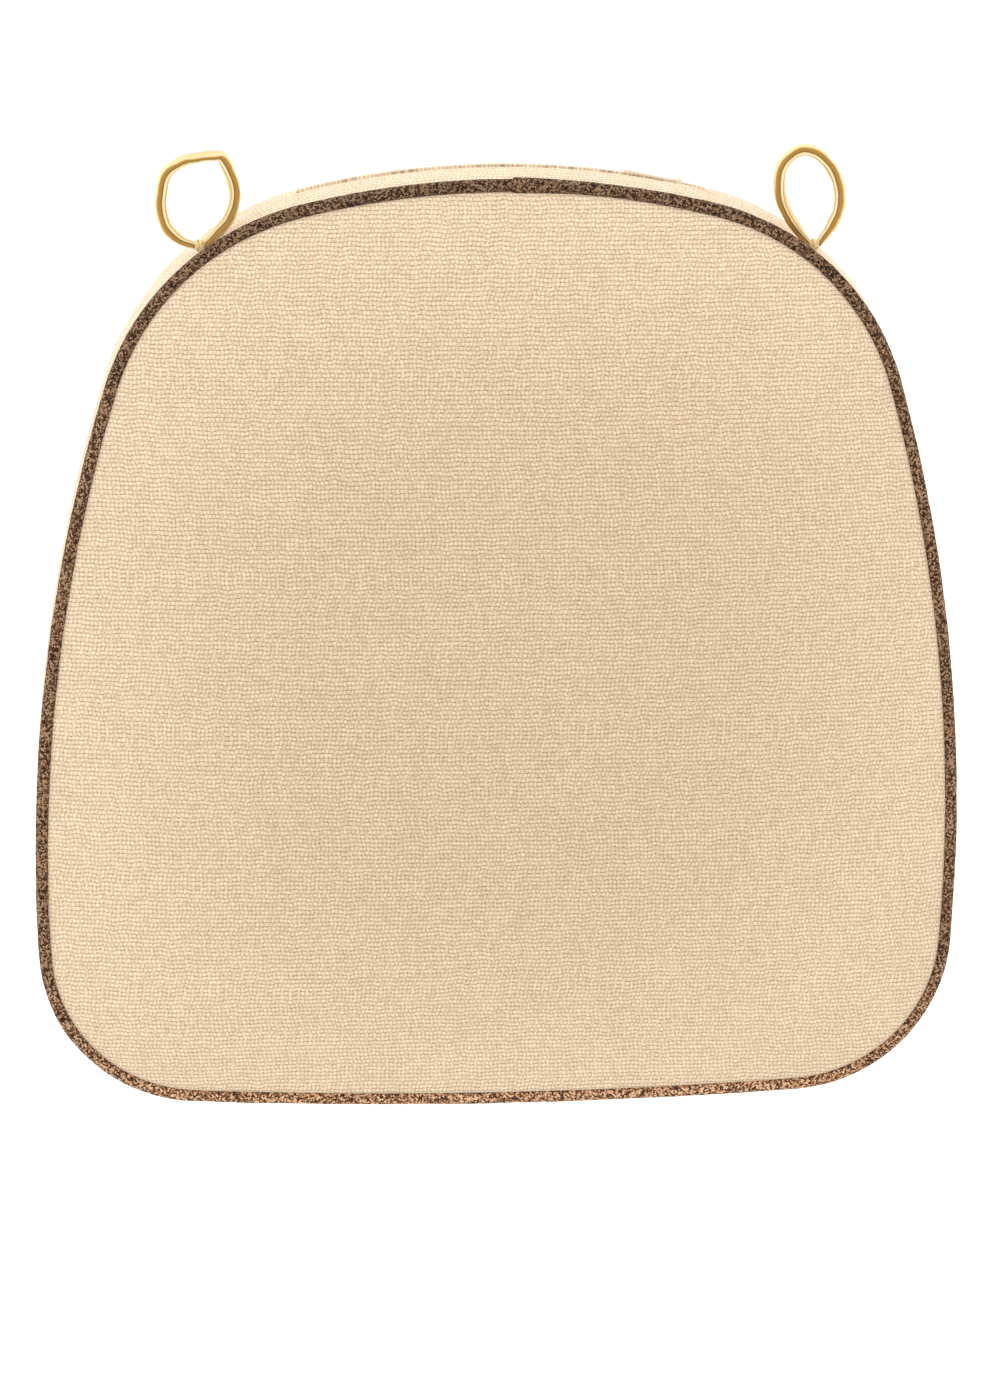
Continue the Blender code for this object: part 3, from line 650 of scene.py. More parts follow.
def slider_enamel():
    """Cream enamel on die-cast zinc, rubbed down to the metal along its edges."""
    zip_settings = bpy.context.scene.cushion_zip
    made, nodes, shader = new_material("slider_enamel", 0.3, Coat_Roughness=0.15,
                                       Specular_IOR_Level=0.5)
    spot = nodes.from_object()
    heather = heathered(nodes, spot, 0.5 * MM, 5 * MM)
    worn = nodes.group(shared_group("Worn edges"), {"Vector": spot, "Radius": 0.25 * MM})
    bare = nodes.math("GREATER_THAN", worn["Mask"], 0.55)
    plain = nodes.mix(heather["Patch"], opaque(zip_settings.metal_colour, 0.88),
                      opaque(zip_settings.metal_colour))
    nodes.feed(shader["Base Color"], nodes.mix(bare, plain, (0.70, 0.68, 0.64, 1)))
    nodes.feed(shader["Metallic"], bare)
    nodes.feed(shader["Roughness"], nodes.scaled(heather["Fibre"], 0.2, 0.2))
    nodes.feed(shader["Normal"], nodes.bump(heather["Fibre"], 0.03 * MM, 0.5))
    return made


def sewing_thread():
    """Twisted polyester thread."""
    cover = cover_settings()
    made, nodes, shader = new_material("sewing_thread", 0.55, Sheen_Weight=0.3,
                                       Specular_IOR_Level=0.4)
    x, y, z = nodes.xyz(nodes.from_object())
    twist = nodes.add("ShaderNodeTexWave", {"Vector": nodes.vector(nodes.plus(x, y), z),
                                            "Scale": 900.0, "Distortion": 1.0},
                      bands_direction="DIAGONAL")
    # Painted shade and highlight: the thread is darker in the grooves of its twist and lighter on
    # its ridges.
    colour = nodes.mix(twist.outputs["Fac"], opaque(cover.pale_thread, 0.72),
                       opaque(cover.pale_thread, 1.12))
    nodes.feed(shader["Base Color"], colour)
    nodes.feed(shader["Normal"], nodes.bump(twist.outputs["Fac"], 0.1 * MM, 0.7))
    return made


def padding(name, colour, cell, depth):
    """Foam, wadding or cotton cord: pale, dull and full of small cells or fibres."""
    made, nodes, shader = new_material(name, 0.95, Specular_IOR_Level=0.2)
    spot = nodes.from_object()
    cells = nodes.add("ShaderNodeTexVoronoi", {"Vector": spot, "Scale": 1 / cell})
    heather = heathered(nodes, spot, cell, 40 * MM)
    tone = nodes.scaled(cells.outputs["Distance"], 0.5, nodes.times(heather["Patch"], 0.6))
    nodes.feed(shader["Base Color"], nodes.ramp(tone, ((0.2, shaded(colour, 0.8)),
                                                       (0.7, colour))))
    height = nodes.plus(cells.outputs["Distance"], heather["Fibre"])
    nodes.feed(shader["Normal"], nodes.bump(height, depth, 0.8))
    return made


# ---------------------------------------------------------------- mesh helpers

def add_piece(name, mesh, finish, body, slot, *stands_for):
    """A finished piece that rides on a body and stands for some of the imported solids."""
    piece = bpy.data.objects.new(name, mesh)
    bpy.context.scene.collection.objects.link(piece)
    mesh.materials.clear()
    mesh.materials.append(finish)
    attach(piece, body)
    if stands_for:
        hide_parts(*stands_for)
    return piece


def plain_mesh(holder):
    """The evaluated shape of a helper object as a mesh of its own; the helper goes away."""
    evaluated = holder.evaluated_get(bpy.context.evaluated_depsgraph_get())
    mesh = bpy.data.meshes.new_from_object(evaluated)
    bpy.data.objects.remove(holder)
    return mesh


def helper_object(name, mesh):
    made = bpy.data.objects.new(name, mesh)
    bpy.context.scene.collection.objects.link(made)
    return made


def dress(node, finish):
    """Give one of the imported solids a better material."""
    piece = frame["nodes"][node]
    piece.data.materials.clear()
    piece.data.materials.append(finish)


def ring_section(sides, place):
    """A tube's section from place(turn), which gives each point's (across, up, mark)."""
    return [place(2 * pi * j / sides) for j in range(sides)]


def rows_of(data, field):
    """One vector of each element of some mesh data, as the rows of an array."""
    found = np.zeros(len(data) * 3)
    data.foreach_get(field, found)
    return found.reshape(-1, 3)


def tube_mesh(name, spine, sides, section, closed):
    """A tube through a line of places. section(i) gives the ring of (across, up, mark), and
    each place gives its point, its sideways and upward directions, and its length along."""
    work = bmesh.new()
    layer = work.loops.layers.uv.new("cloth")
    rings, marks = [], []
    for i, (point, side, up, length) in enumerate(spine):
        ring, ring_marks = [], []
        for across, rise, around in section(i):
            ring.append(work.verts.new(point + side * across + up * rise))
            ring_marks.append((length, around))
        rings.append(ring)
        marks.append(ring_marks)
    total = len(rings)
    last_length = spine[-1][3] + (spine[1][3] - spine[0][3])
    for i in range(total if closed else total - 1):
        after = (i + 1) % total
        for j in range(sides):
            beside = (j + 1) % sides
            face = work.faces.new((rings[i][j], rings[after][j], rings[after][beside],
                                   rings[i][beside]))
            length_after = last_length if after == 0 else marks[after][j][0]
            around_beside = marks[i][beside][1] if beside else section_end(marks[i])
            face.smooth = True
            for loop, uv in zip(face.loops, (
                    (marks[i][j][0], marks[i][j][1]), (length_after, marks[i][j][1]),
                    (length_after, around_beside), (marks[i][j][0], around_beside))):
                loop[layer].uv = uv
    if not closed:
        for ring, mark in ((rings[0], marks[0]), (rings[-1], marks[-1])):
            middle = work.verts.new(sum((v.co for v in ring), Vector()) / len(ring))
            for j in range(sides):
                face = work.faces.new((ring[j], ring[(j + 1) % sides], middle))
                face.smooth = True
                for loop in face.loops:
                    loop[layer].uv = mark[j]
    bmesh.ops.recalc_face_normals(work, faces=work.faces)
    mesh = bpy.data.meshes.new(name)
    work.to_mesh(mesh)
    work.free()
    return mesh


def section_end(marks):
    """Where the mark round a section would stand after a full turn."""
    return marks[-1][1] + (marks[-1][1] - marks[-2][1])


# ---------------------------------------------------------------- cover

class CoverShape:
    """The cover's closed skin: a crowned top, a bulging boxing with its seams and the zip's
    channel, and a flat bottom."""

    EDGE_ROLL = ((1.2, -0.4), (1.7, 1.2), (2.6, 2.5), (3.8, 3.4))   # inset and height, in mm
    TOP_INSETS = (5.2, 7.0, 9.5, 13.0, 18.0, 24.0)
    FREE_ROLL = (0.6, 0.3, 0.0, 0.0)
    BOTTOM_EDGE = ((3.3, 1.5), (3.7, 1.0), (4.4, 0.45), (5.6, 0.1), (8.0, 0.0), (14.0, 0.0))
    FULLER = ((-90, 0), (0, 0.8), (60, 0.8), (80, 1.3), (100, 1.3), (122, 0.3), (145, -1.6),
              (190, -1.6), (215, -0.6), (270, 0))    # bearing and extra bulge, in mm
    LIP = 0.55 * MM
    EDGE_RISE = 1.2 * MM
    CREASE = 0.75
    FLOOR_OFFSET = -3.0 * MM
    SEAM_DEPTH = 1.3 * MM

    def __init__(self, cover, outline):
        self.cover, self.outline = cover, outline
        edge = [outline.point(bearing, -SEAM_INSET) for bearing in np.arange(-90, 270, 0.5)]
        self.edge_turns, self.edge_reach = reach_by_turn(edge)
        self.columns()
        self.rows()

    def crown_height(self, x, y):
        """The top's height: a crown that falls away towards the edge."""
        reach = np.interp(atan2(y, x), self.edge_turns, self.edge_reach, period=2 * pi)
        share = min(1.0, Vector((x, y)).length / reach)
        return PANEL_LOW + self.EDGE_RISE + self.cover.crown * (1 - share ** 2.4) ** 0.58

    def columns(self):
        """The lengths along the seam at which the skin has points, and what stands there."""
        outline = self.outline
        self.seams = [outline.length_at(b) for b in loop_seams(outline)]
        self.channel = [outline.length_at(b) for b in zip_ends()]
        fixed = {}
        for seam in self.seams:
            for step, depth in ((-2.4, 0), (-1.0, 0.45), (0, 1), (1.0, 0.45), (2.4, 0)):
                fixed[seam + step * MM] = depth
        for end, inwards in zip(self.channel, (1, -1)):
            for step, depth in ((-2.2, 0), (-0.9, 0.25), (-0.2, 0.8), (0.25, 0.25), (0.6, 0.1)):
                fixed[end + inwards * step * MM] = depth
        count = ceil(outline.length / self.cover.mesh_step)
        even = [outline.length * i / count for i in range(count)]
        clear = 1.8 * MM
        lengths = [s for s in even if all(abs(s - f) > clear for f in fixed)] + list(fixed)
        self.lengths = sorted(lengths)
        self.groove = [fixed.get(s, 0.0) for s in self.lengths]
        first, last = self.channel
        self.in_channel = [first + 0.3 * MM < s < last - 0.3 * MM for s in self.lengths]
        self.bearings = [outline.bearing_at(s) for s in self.lengths]

    def rows(self):
        """The boxing's heights from the top seam down, and how deep each lies in the channel."""
        low, high = CHANNEL_LOW, CHANNEL_HIGH
        above = [BOXING_HIGH, 43.3 * MM, 41.3 * MM, 38.5 * MM, 35.0 * MM, 31.5 * MM, 28.8 * MM]
        lips_up = [(high + 0.9 * MM, 0.0), (high + 0.25 * MM, 0.25), (high, 1.0)]
        floor = [(high + 0.05 * MM, None), (high - 1.5 * MM, None), (ZIP_Z, None),
                 (low + 1.5 * MM, None), (low - 0.05 * MM, None)]
        lips_down = [(low, 1.0), (low - 0.25 * MM, 0.25), (low - 0.9 * MM, 0.0)]
        below = [15.0 * MM, 12.0 * MM, 9.0 * MM, 6.3 * MM, 4.0 * MM, 2.5 * MM]
        self.levels = [(z, 0.0) for z in above] + lips_up + floor + lips_down
        self.levels += [(z, 0.0) for z in below]

    def boxing_point(self, column, level):
        z, lip = level
        fuller = float(np.interp(self.bearings[column], *zip(*self.FULLER))) * MM
        offset = boxing_offset(z) - self.groove[column] * self.SEAM_DEPTH
        offset += fuller * sin(pi * boxing_share(z))
        if self.in_channel[column]:
            if lip is None:
                offset = self.FLOOR_OFFSET
            else:
                offset -= lip * self.LIP
        point = self.outline.point(self.bearings[column], offset)
        return Vector((point.x, point.y, z))

    def build(self):
        """The skin as a bmesh, with its weave laid out in metres and a weight for each point."""
        self.work = bmesh.new()
        self.layer = self.work.loops.layers.uv.new("cloth")
        self.crease = self.work.edges.layers.float.new("crease_edge")
        self.free = []
        top, top_marks = self.top_rings()
        boxing = [self.ring([self.boxing_point(i, level) for i in range(len(self.lengths))],
                            self.boxing_freedom(level)) for level in self.levels]
        bottom = [self.ring([self.flat_point(i, inset * MM, height * MM)
                             for i in range(len(self.lengths))], 0.0)
                  for inset, height in self.BOTTOM_EDGE]
        side = [top[-1]] + boxing + [bottom[0]]
        side_marks = self.side_marks(side)
        self.skin(top, top_marks)
        self.skin(side, side_marks, wraps=True)
        bottom_marks = [[(v.co.x, v.co.y) for v in ring] for ring in bottom]
        self.skin(bottom, bottom_marks)
        self.fill(top[0], 6.0 * MM, self.crown_height, 1.0)
        self.fill(bottom[-1], 14.0 * MM, lambda x, y: 0.0, 0.0)
        self.crisp(boxing)
        bmesh.ops.recalc_face_normals(self.work, faces=self.work.faces)
        for face in self.work.faces:
            face.smooth = True
        self.work.verts.index_update()
        return self.work, self.free

    def ring(self, points, freedom):
        weights = freedom if isinstance(freedom, list) else [freedom] * len(points)
        self.free += weights
        return [self.work.verts.new(point) for point in points]

    def flat_point(self, column, inset, z):
        point = self.outline.point(self.bearings[column], -inset)
        return Vector((point.x, point.y, z))

    def boxing_freedom(self, level):
        """How freely the padding may push the boxing out: not at its seams or by the zip."""
        z, _ = level
        rise = sin(pi * boxing_share(z))
        first, last = self.channel
        found = []
        for length in self.lengths:
            near = min(abs(length - seam) for seam in self.seams)
            to_zip = max(first - length, length - last, 0)
            found.append(rise * min(1, near / 0.012) * min(1, to_zip / 0.02))
        return found

    def top_rings(self):
        """Rings from the innermost to the seam, and where each lies on the cloth laid flat."""
        insets = [inset * MM for inset in reversed(self.TOP_INSETS)]
        rings = []
        for inset in insets:
            points = []
            for i in range(len(self.lengths)):
                flat = self.flat_point(i, inset, 0)
                flat.z = self.crown_height(flat.x, flat.y)
                points.append(flat)
            rings.append(self.ring(points, 1.0))
        for (inset, height), freedom in zip(reversed(self.EDGE_ROLL), self.FREE_ROLL):
            rings.append(self.ring([self.flat_point(i, inset * MM, PIPING_Z + height * MM)
                                    for i in range(len(self.lengths))], freedom))
            insets.append(inset * MM)
        start = insets[0]
        heights = [rings[i][0].co.z for i in range(len(rings))]
        travelled = 0.0
        marks = []
        for i in range(len(rings)):
            if i:
                travelled += sqrt((insets[i] - insets[i - 1]) ** 2
                                  + (heights[i] - heights[i - 1]) ** 2)
            marks.append([tuple(self.outline.point(bearing, travelled - start))
                          for bearing in self.bearings])
        return rings, marks

    def side_marks(self, rings):
        """The boxing's cloth: length along the seam, and length down from it."""
        down, marks = 0.0, []
        for i, ring in enumerate(rings):
            if i:
                down += (ring[0].co - rings[i - 1][0].co).length
            marks.append([(length, -down) for length in self.lengths])
        return marks

    def skin(self, rings, marks, wraps=False):
        """Faces between rings, each corner given its place on the cloth."""
        count = len(self.lengths)
        for (upper, lower), (upper_marks, lower_marks) in zip(zip(rings, rings[1:]),
                                                              zip(marks, marks[1:])):
            for i in range(count):
                after = (i + 1) % count
                face = self.work.faces.new((upper[i], lower[i], lower[after], upper[after]))
                corners = [upper_marks[i], lower_marks[i], lower_marks[after], upper_marks[after]]
                if wraps and after == 0:
                    total = self.outline.length
                    corners[2:] = [(x + total, y) for x, y in corners[2:]]
                for loop, mark in zip(face.loops, corners):
                    loop[self.layer].uv = mark

    def fill(self, ring, step, height, freedom):
        """Even points inside a ring, joined to it and to each other."""
        outer = [Vector((v.co.x, v.co.y)) for v in ring]
        count = len(outer)
        inner = []
        low_x, high_x = min(p.x for p in outer), max(p.x for p in outer)
        low_y, high_y = min(p.y for p in outer), max(p.y for p in outer)
        turns, reaches = reach_by_turn(outer)
        across, deep = ceil((high_x - low_x) / step), ceil((high_y - low_y) / step)
        for i in range(-across // 2, across // 2 + 1):
            for j in range(-deep // 2 - 1, deep // 2 + 2):
                point = Vector((i * step, j * step))
                reach = np.interp(atan2(point.y, point.x), turns, reaches, period=2 * pi)
                if point.length < reach - 0.75 * step:
                    inner.append(point)
        edges = [(i, (i + 1) % count) for i in range(count)]
        _, _, faces, origins, _, _ = delaunay_2d_cdt(outer + inner, edges, [], 1, 1e-7)
        known = list(ring)
        for point in inner:
            known.append(self.work.verts.new((point.x, point.y, height(point.x, point.y))))
            self.free.append(freedom)
        made = []
        for face in faces:
            corners = [known[origins[i][0]] for i in face]
            new = self.work.faces.new(corners)
            for loop in new.loops:
                loop[self.layer].uv = loop.vert.co.xy
            made.append(new)
        bmesh.ops.join_triangles(self.work, faces=made, angle_face_threshold=radians(50),
                                 angle_shape_threshold=radians(50))

    def crisp(self, boxing):
        """Hold the channel's edges sharp when the skin is smoothed."""
        rows = [i for i, (_, lip) in enumerate(self.levels) if lip == 1.0 or lip is None]
        inner = [i for i, inside in enumerate(self.in_channel) if inside]
        sharp_rows = {rows[0], rows[1], rows[-2], rows[-1]}
        for row in sharp_rows:
            for i, after in zip(inner, inner[1:]):
                edge = self.work.edges.get((boxing[row][i], boxing[row][after]))
                if edge:
                    edge[self.crease] = self.CREASE
        for column in (inner[0] - 1, inner[0], inner[-1], inner[-1] + 1):
            for row, after in zip(rows, rows[1:]):
                edge = self.work.edges.get((boxing[row][column], boxing[after][column]))
                if edge:
                    edge[self.crease] = self.CREASE


def swell(holder, freedom, cover):
    """Let the padding press the cloth out, holding the seams, and keep the moves small."""
    mesh = holder.data
    before = rows_of(mesh.vertices, "co")
    held = holder.vertex_groups.new(name="held")
    for i, share in enumerate(freedom):
        if share < 1:
            held.add([i], 1 - share, "REPLACE")
    cloth = holder.modifiers.new("padding", "CLOTH")
    for field, value in (
            ("quality", 6), ("mass", 0.25), ("tension_stiffness", 12),
            ("compression_stiffness", 12), ("shear_stiffness", 4), ("bending_stiffness", 1.5),
            ("vertex_group_mass", "held"), ("pin_stiffness", 1.0), ("use_pressure", True),
            ("uniform_pressure_force", cover.pressure)):
        setattr(cloth.settings, field, value)
    cloth.settings.effector_weights.gravity = 0
    cloth.collision_settings.use_collision = False
    cloth.point_cache.frame_start, cloth.point_cache.frame_end = 1, cover.frames
    scene = bpy.context.scene
    for step in range(1, cover.frames + 1):
        scene.frame_set(step)
    evaluated = holder.evaluated_get(bpy.context.evaluated_depsgraph_get())
    move = rows_of(evaluated.data.vertices, "co") - before
    holder.modifiers.remove(cloth)
    holder.vertex_groups.remove(held)
    scene.frame_set(1)
    size = np.linalg.norm(move, axis=1)
    soft = cover.most_swell * np.tanh(size / cover.most_swell) / np.maximum(size, 1e-9)
    move *= (soft * np.array(freedom))[:, None]
    kept = np.linalg.norm(move, axis=1)
    print("swell: largest move %.1f mm, %.1f mm once capped" % (size.max() / MM, kept.max() / MM))
    mesh.vertices.foreach_set("co", (before + move).ravel())
    mesh.update()


SLOW_PUFF = 0.6 * MM       # unevenness of the padding under the top
SEAM_PUFF = 0.55 * MM      # gathers in the top beside its seam
SIDE_GATHER = 0.6 * MM     # gathers in the boxing beside its two seams


def pucker(mesh, outline):
    """Gathers where the seams draw the cloth in, and a slow unevenness over the padding."""
    places = rows_of(mesh.vertices, "co")
    outwards = rows_of(mesh.vertex_normals, "vector")
    count = 1440
    turns, reaches = reach_by_turn([outline.point(outline.bearing_at(outline.length * i / count))
                                    for i in range(count)])

    def along_seam(scale, row):
        """Smooth unevenness along the seam, joined up where it closes, read by direction."""
        ring = [Vector((cos(t), sin(t), 0)) * scale + Vector((0, 0, row)) for t in turns]
        return np.interp(angles, turns, [noise.noise(spot) for spot in ring], period=2 * pi)

    x, y, z = places.T
    angles = np.arctan2(y, x)
    inset = np.interp(angles, turns, reaches, period=2 * pi) - np.hypot(x, y)
    top = z > PIPING_Z + 1.5 * MM
    slow = np.array([noise.noise(Vector((px * 22, py * 22, 1.7))) if on_top else 0.0
                     for px, py, on_top in zip(x, y, top)])
    fade = np.exp(-np.maximum(inset - 0.004, 0) / 0.011)
    fade *= np.clip((inset - 0.0035) / 0.004, 0, 1)
    z_moves = slow * np.clip(inset / 0.03, 0, 1) * SLOW_PUFF
    z_moves = z_moves + along_seam(20, 3) * fade * SEAM_PUFF
    side = (z > BOXING_LOW + MM) & (z < BOXING_HIGH - MM) & (outwards[:, 2] < 0.7)
    from_seam = np.minimum(z - BOXING_LOW, BOXING_HIGH - z)
    fade = np.exp(-from_seam / 0.009) * np.clip(from_seam / 0.003, 0, 1)
    by_zip = (np.abs(x) < REAR_HALF_WIDTH + 0.004) & (y > 0)
    fade *= np.where(by_zip, np.clip((np.abs(z - ZIP_Z) - 0.007) / 0.004, 0, 1), 1)
    gather = np.where(z > ZIP_Z, along_seam(18, 7), along_seam(18, 11)) * fade * SIDE_GATHER
    places[:, 2] += np.where(top, z_moves, 0)
    places[:, :2] += outwards[:, :2] * np.where(side, gather, 0)[:, None]
    mesh.vertices.foreach_set("co", places.ravel())
    mesh.update()


class CUSHION_OT_cover(bpy.types.Operator):
    """Make the padded woven cover with its seams and the channel for the zip"""

    bl_idname = "cushion.make_cover"
    bl_label = "Make the cover"

    def execute(self, context):
        cover, outline = cover_settings(), Outline(cover_settings())
        shape = CoverShape(cover, outline)
        work, freedom = shape.build()
        mesh = bpy.data.meshes.new("cushion_cover")
        work.to_mesh(mesh)
        work.free()
        holder = helper_object("cover_start", mesh)
        swell(holder, freedom, cover)
        smooth = holder.modifiers.new("smooth", "SUBSURF")
        smooth.levels = smooth.render_levels = 1
        finished = plain_mesh(holder)
        finished.name = "cushion_cover"
        pucker(finished, outline)
        piece = add_piece("cushion_cover", finished, cover_cloth(), "cushion", "cover_cloth",
                          "top_panel", "bottom_panel", "boxing_front", "boxing_tab_left",
                          "boxing_tab_right", "boxing_rear_upper", "boxing_rear_lower")
        return {"FINISHED"}


class CUSHION_OT_piping(bpy.types.Operator):
    """Make the tweed piping round the top seam, with its lapped ends"""

    bl_idname = "cushion.make_piping"
    bl_label = "Make the piping"

    SIDES = 16
    STEP = 1.9 * MM
    LAP_EDGE = 0.6 * MM        # over which the lap rises
    LAP_FADE = 21 * MM         # over which it sinks back into the piping

    def execute(self, context):
        piping, outline = context.scene.cushion_piping, Outline(cover_settings())
        count = round(outline.length / self.STEP)
        radius = piping.radius
        lap = outline.length_at(degrees(acos(piping.lap_x / cover_settings().back_radius)))
        spine, girth = [], []
        for i in range(count):
            length = outline.length * i / count
            bearing = outline.bearing_at(length)
            turn = radians(bearing)
            ring = Vector((cos(turn), sin(turn), 0))
            loop = 2 * pi * i / count
            around = Vector((cos(loop), sin(loop), 0))
            stray = noise.noise(around * 9) * piping.wander
            rise = noise.noise(around * 7 + Vector((5, 5, 5))) * piping.wander * 0.6
            flat = outline.point(bearing, stray + piping.stand_out)
            past = lap - length                      # positive to the right of the lap
            swell_by = 1 + noise.noise(around * 38) * piping.unevenness
            swell_by += noise.noise(around * 90) * piping.unevenness * 0.6
            if -self.LAP_EDGE < past < 0:
                swell_by += piping.lap_growth * (1 + past / self.LAP_EDGE)
            elif 0 <= past:
                swell_by += piping.lap_growth * exp(-(past / self.LAP_FADE) ** 2)
            spine.append((Vector((flat.x, flat.y, PIPING_Z + rise)), ring, Vector((0, 0, 1)),
                          length))
            girth.append(radius * swell_by)

        def section(i):
            def place(turn):
                lump = noise.noise(Vector((spine[i][3] * 300, cos(turn) * 2, sin(turn) * 2)))
                reach = girth[i] * (1 + 0.03 * lump)
                return cos(turn) * reach, sin(turn) * reach, turn * radius

            return ring_section(self.SIDES, place)

        mesh = tube_mesh("piping_tube", spine, self.SIDES, section, closed=True)
        add_piece("piping_tube", mesh, piping_tweed(), "cushion", "piping_tweed",
                  "piping_sleeve")
        return {"FINISHED"}


# ---------------------------------------------------------------- zip

def repeat_along_tree():
    """Geometry nodes: rounded bars set along a path at even spacing, as teeth or stitches."""
    inputs = (("Path", "NodeSocketGeometry", None), ("Spacing", VALUE, 0.001),
              ("Along", VALUE, 0.001), ("Across", VALUE, 0.001), ("Up", VALUE, 0.001),
              ("Lean", VALUE, 0.0), ("Unevenness", VALUE, 0.0), ("Seed", "NodeSocketInt", 7),
              ("Finish", "NodeSocketMaterial", None))
    tree, nodes, given, made = new_group("Bars along a path", "GeometryNodeTree", inputs,
                                         (("Bars", "NodeSocketGeometry"),))
    curve = nodes.add("GeometryNodeMeshToCurve", {"Mesh": given["Path"]})
    spaced = nodes.add("GeometryNodeResampleCurve", {"Curve": curve.outputs[0],
                                                     "Length": given["Spacing"]}, mode="LENGTH")
    bar = nodes.add("GeometryNodeMeshUVSphere", {"Segments": 8, "Rings": 6, "Radius": 0.5})
    tangent = nodes.add("GeometryNodeInputTangent")
    along = nodes.add("FunctionNodeAlignRotationToVector", {"Vector": tangent.outputs[0]},
                      axis="X", pivot_axis="Z")
    jitter = nodes.add("FunctionNodeRandomValue", data_type="FLOAT")
    for socket, value in ((2, nodes.math("SUBTRACT", 1.0, given["Unevenness"])),
                          (3, nodes.math("ADD", 1.0, given["Unevenness"])),
                          (8, given["Seed"])):
        nodes.feed(jitter.inputs[socket], value)
    size = nodes.vector(nodes.times(given["Along"], jitter.outputs[1]), given["Across"],
                        given["Up"])
    lean = nodes.add("FunctionNodeEulerToRotation", {"Euler": nodes.vector(0.0, given["Lean"])})
    turned = nodes.add("FunctionNodeRotateRotation", {"Rotation": along.outputs[0],
                                                      "Rotate By": lean.outputs[0]},
                       rotation_space="LOCAL")
    placed = nodes.add("GeometryNodeInstanceOnPoints", {
        "Points": spaced.outputs[0], "Instance": bar.outputs[0],
        "Rotation": turned.outputs[0], "Scale": size})
    solid = nodes.add("GeometryNodeRealizeInstances", {"Geometry": placed.outputs[0]})
    smooth = nodes.add("GeometryNodeSetShadeSmooth", {"Geometry": solid.outputs[0]})
    finished = nodes.add("GeometryNodeSetMaterial", {"Geometry": smooth.outputs[0],
                                                     "Material": given["Finish"]})
    nodes.feed(made["Bars"], finished.outputs[0])
    return tree


def bars_along(name, paths, finish, **sizes):
    """A mesh of bars along each path, from the tree above."""
    mesh = bpy.data.meshes.new(name)
    points, edges = [], []
    for path in paths:
        start = len(points)
        points += path
        edges += [(start + i, start + i + 1) for i in range(len(path) - 1)]
    mesh.from_pydata(points, edges, [])
    holder = helper_object(name, mesh)
    tree = bpy.data.node_groups.get("Bars along a path") or repeat_along_tree()
    modifier = holder.modifiers.new("bars", "NODES")
    modifier.node_group = tree
    sockets = {item.name: item.identifier for item in tree.interface.items_tree
               if item.in_out == "INPUT"}
    for socket, value in sizes.items():
        modifier[sockets[socket]] = value
    modifier[sockets["Finish"]] = finish
    holder.update_tag()
    return plain_mesh(holder)


def rear_path(outline, start, stop, offset, z, step=2.0 * MM):
    """Points along the back edge at an offset and a height, from one length to another."""
    count = ceil((stop - start) / step)
    found = []
    for i in range(count + 1):
        point = outline.point(outline.bearing_at(start + (stop - start) * i / count), offset)
        found.append(Vector((point.x, point.y, z)))
    return found


def laid_on(surface, points, lift):
    """Points moved onto a surface and raised a little off it."""
    found = []
    for point in points:
        spot, normal, _, _ = surface.find_nearest(point)
        found.append(spot + normal * lift)
    return found


class CUSHION_OT_zip(bpy.types.Operator):
    """Make the zip's coils, the slider with its pull and the stops, and dress the tapes"""

    bl_idname = "cushion.make_zip"
    bl_label = "Make the zip"

    COIL_DEPTH = 1.8 * MM
    COIL_LEAN = radians(9)

    def execute(self, context):
        sizes, outline = context.scene.cushion_zip, Outline(cover_settings())
        nylon, enamel = zip_nylon(), slider_enamel()
        for side, sign in (("upper", 1), ("lower", -1)):
            low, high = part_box("zip_coil_" + side)
            face = high.y - SEAM_DEPTH / 2
            half = back_bearing(high.x, face)
            start, stop = (outline.length_at(b) for b in (half, 180 - half))
            height = high.z - low.z
            near = ZIP_Z + sign * (height / 2 + 0.45 * MM)
            path = rear_path(outline, start, stop, face - self.COIL_DEPTH / 2, near)
            mesh = bars_along("zip_coil", [path], nylon, Spacing=sizes.tooth_pitch,
                              Along=sizes.tooth_width, Across=self.COIL_DEPTH,
                              Up=height + 0.35 * MM, Lean=sign * self.COIL_LEAN, Seed=3)
            cord = rear_path(outline, start, stop, face - self.COIL_DEPTH / 2,
                             ZIP_Z + sign * (height + 0.35 * MM))
            core = bars_along("zip_coil_core", [cord], nylon, Spacing=0.8 * MM, Along=1.5 * MM,
                              Across=1.2 * MM, Up=0.9 * MM, Seed=5)
            join_meshes(mesh, core)
            add_piece("zip_coil_turns_" + side, mesh, nylon, "cushion", "zip_coil",
                      "zip_coil_" + side)
        for side in ("left", "right"):
            rounded_copy("zip_stop_" + side, "zip_end_stop_" + side, 0.35 * MM, nylon, "cushion",
                         "zip_coil")
        rounded_copy("zip_slider", "slider_body", 0.2 * MM, enamel, "slider", "slider_metal")
        rounded_copy("zip_pull", "pull_tab", 0.22 * MM, enamel, "pull", "slider_metal")
        tape = zip_tape_cloth()
        for side in ("upper", "lower"):
            dress("zip_tape_" + side, tape)
        return {"FINISHED"}


def join_meshes(first, *others):
    work = bmesh.new()
    work.from_mesh(first)
    for other in others:
        work.from_mesh(other)
    work.to_mesh(first)
    work.free()


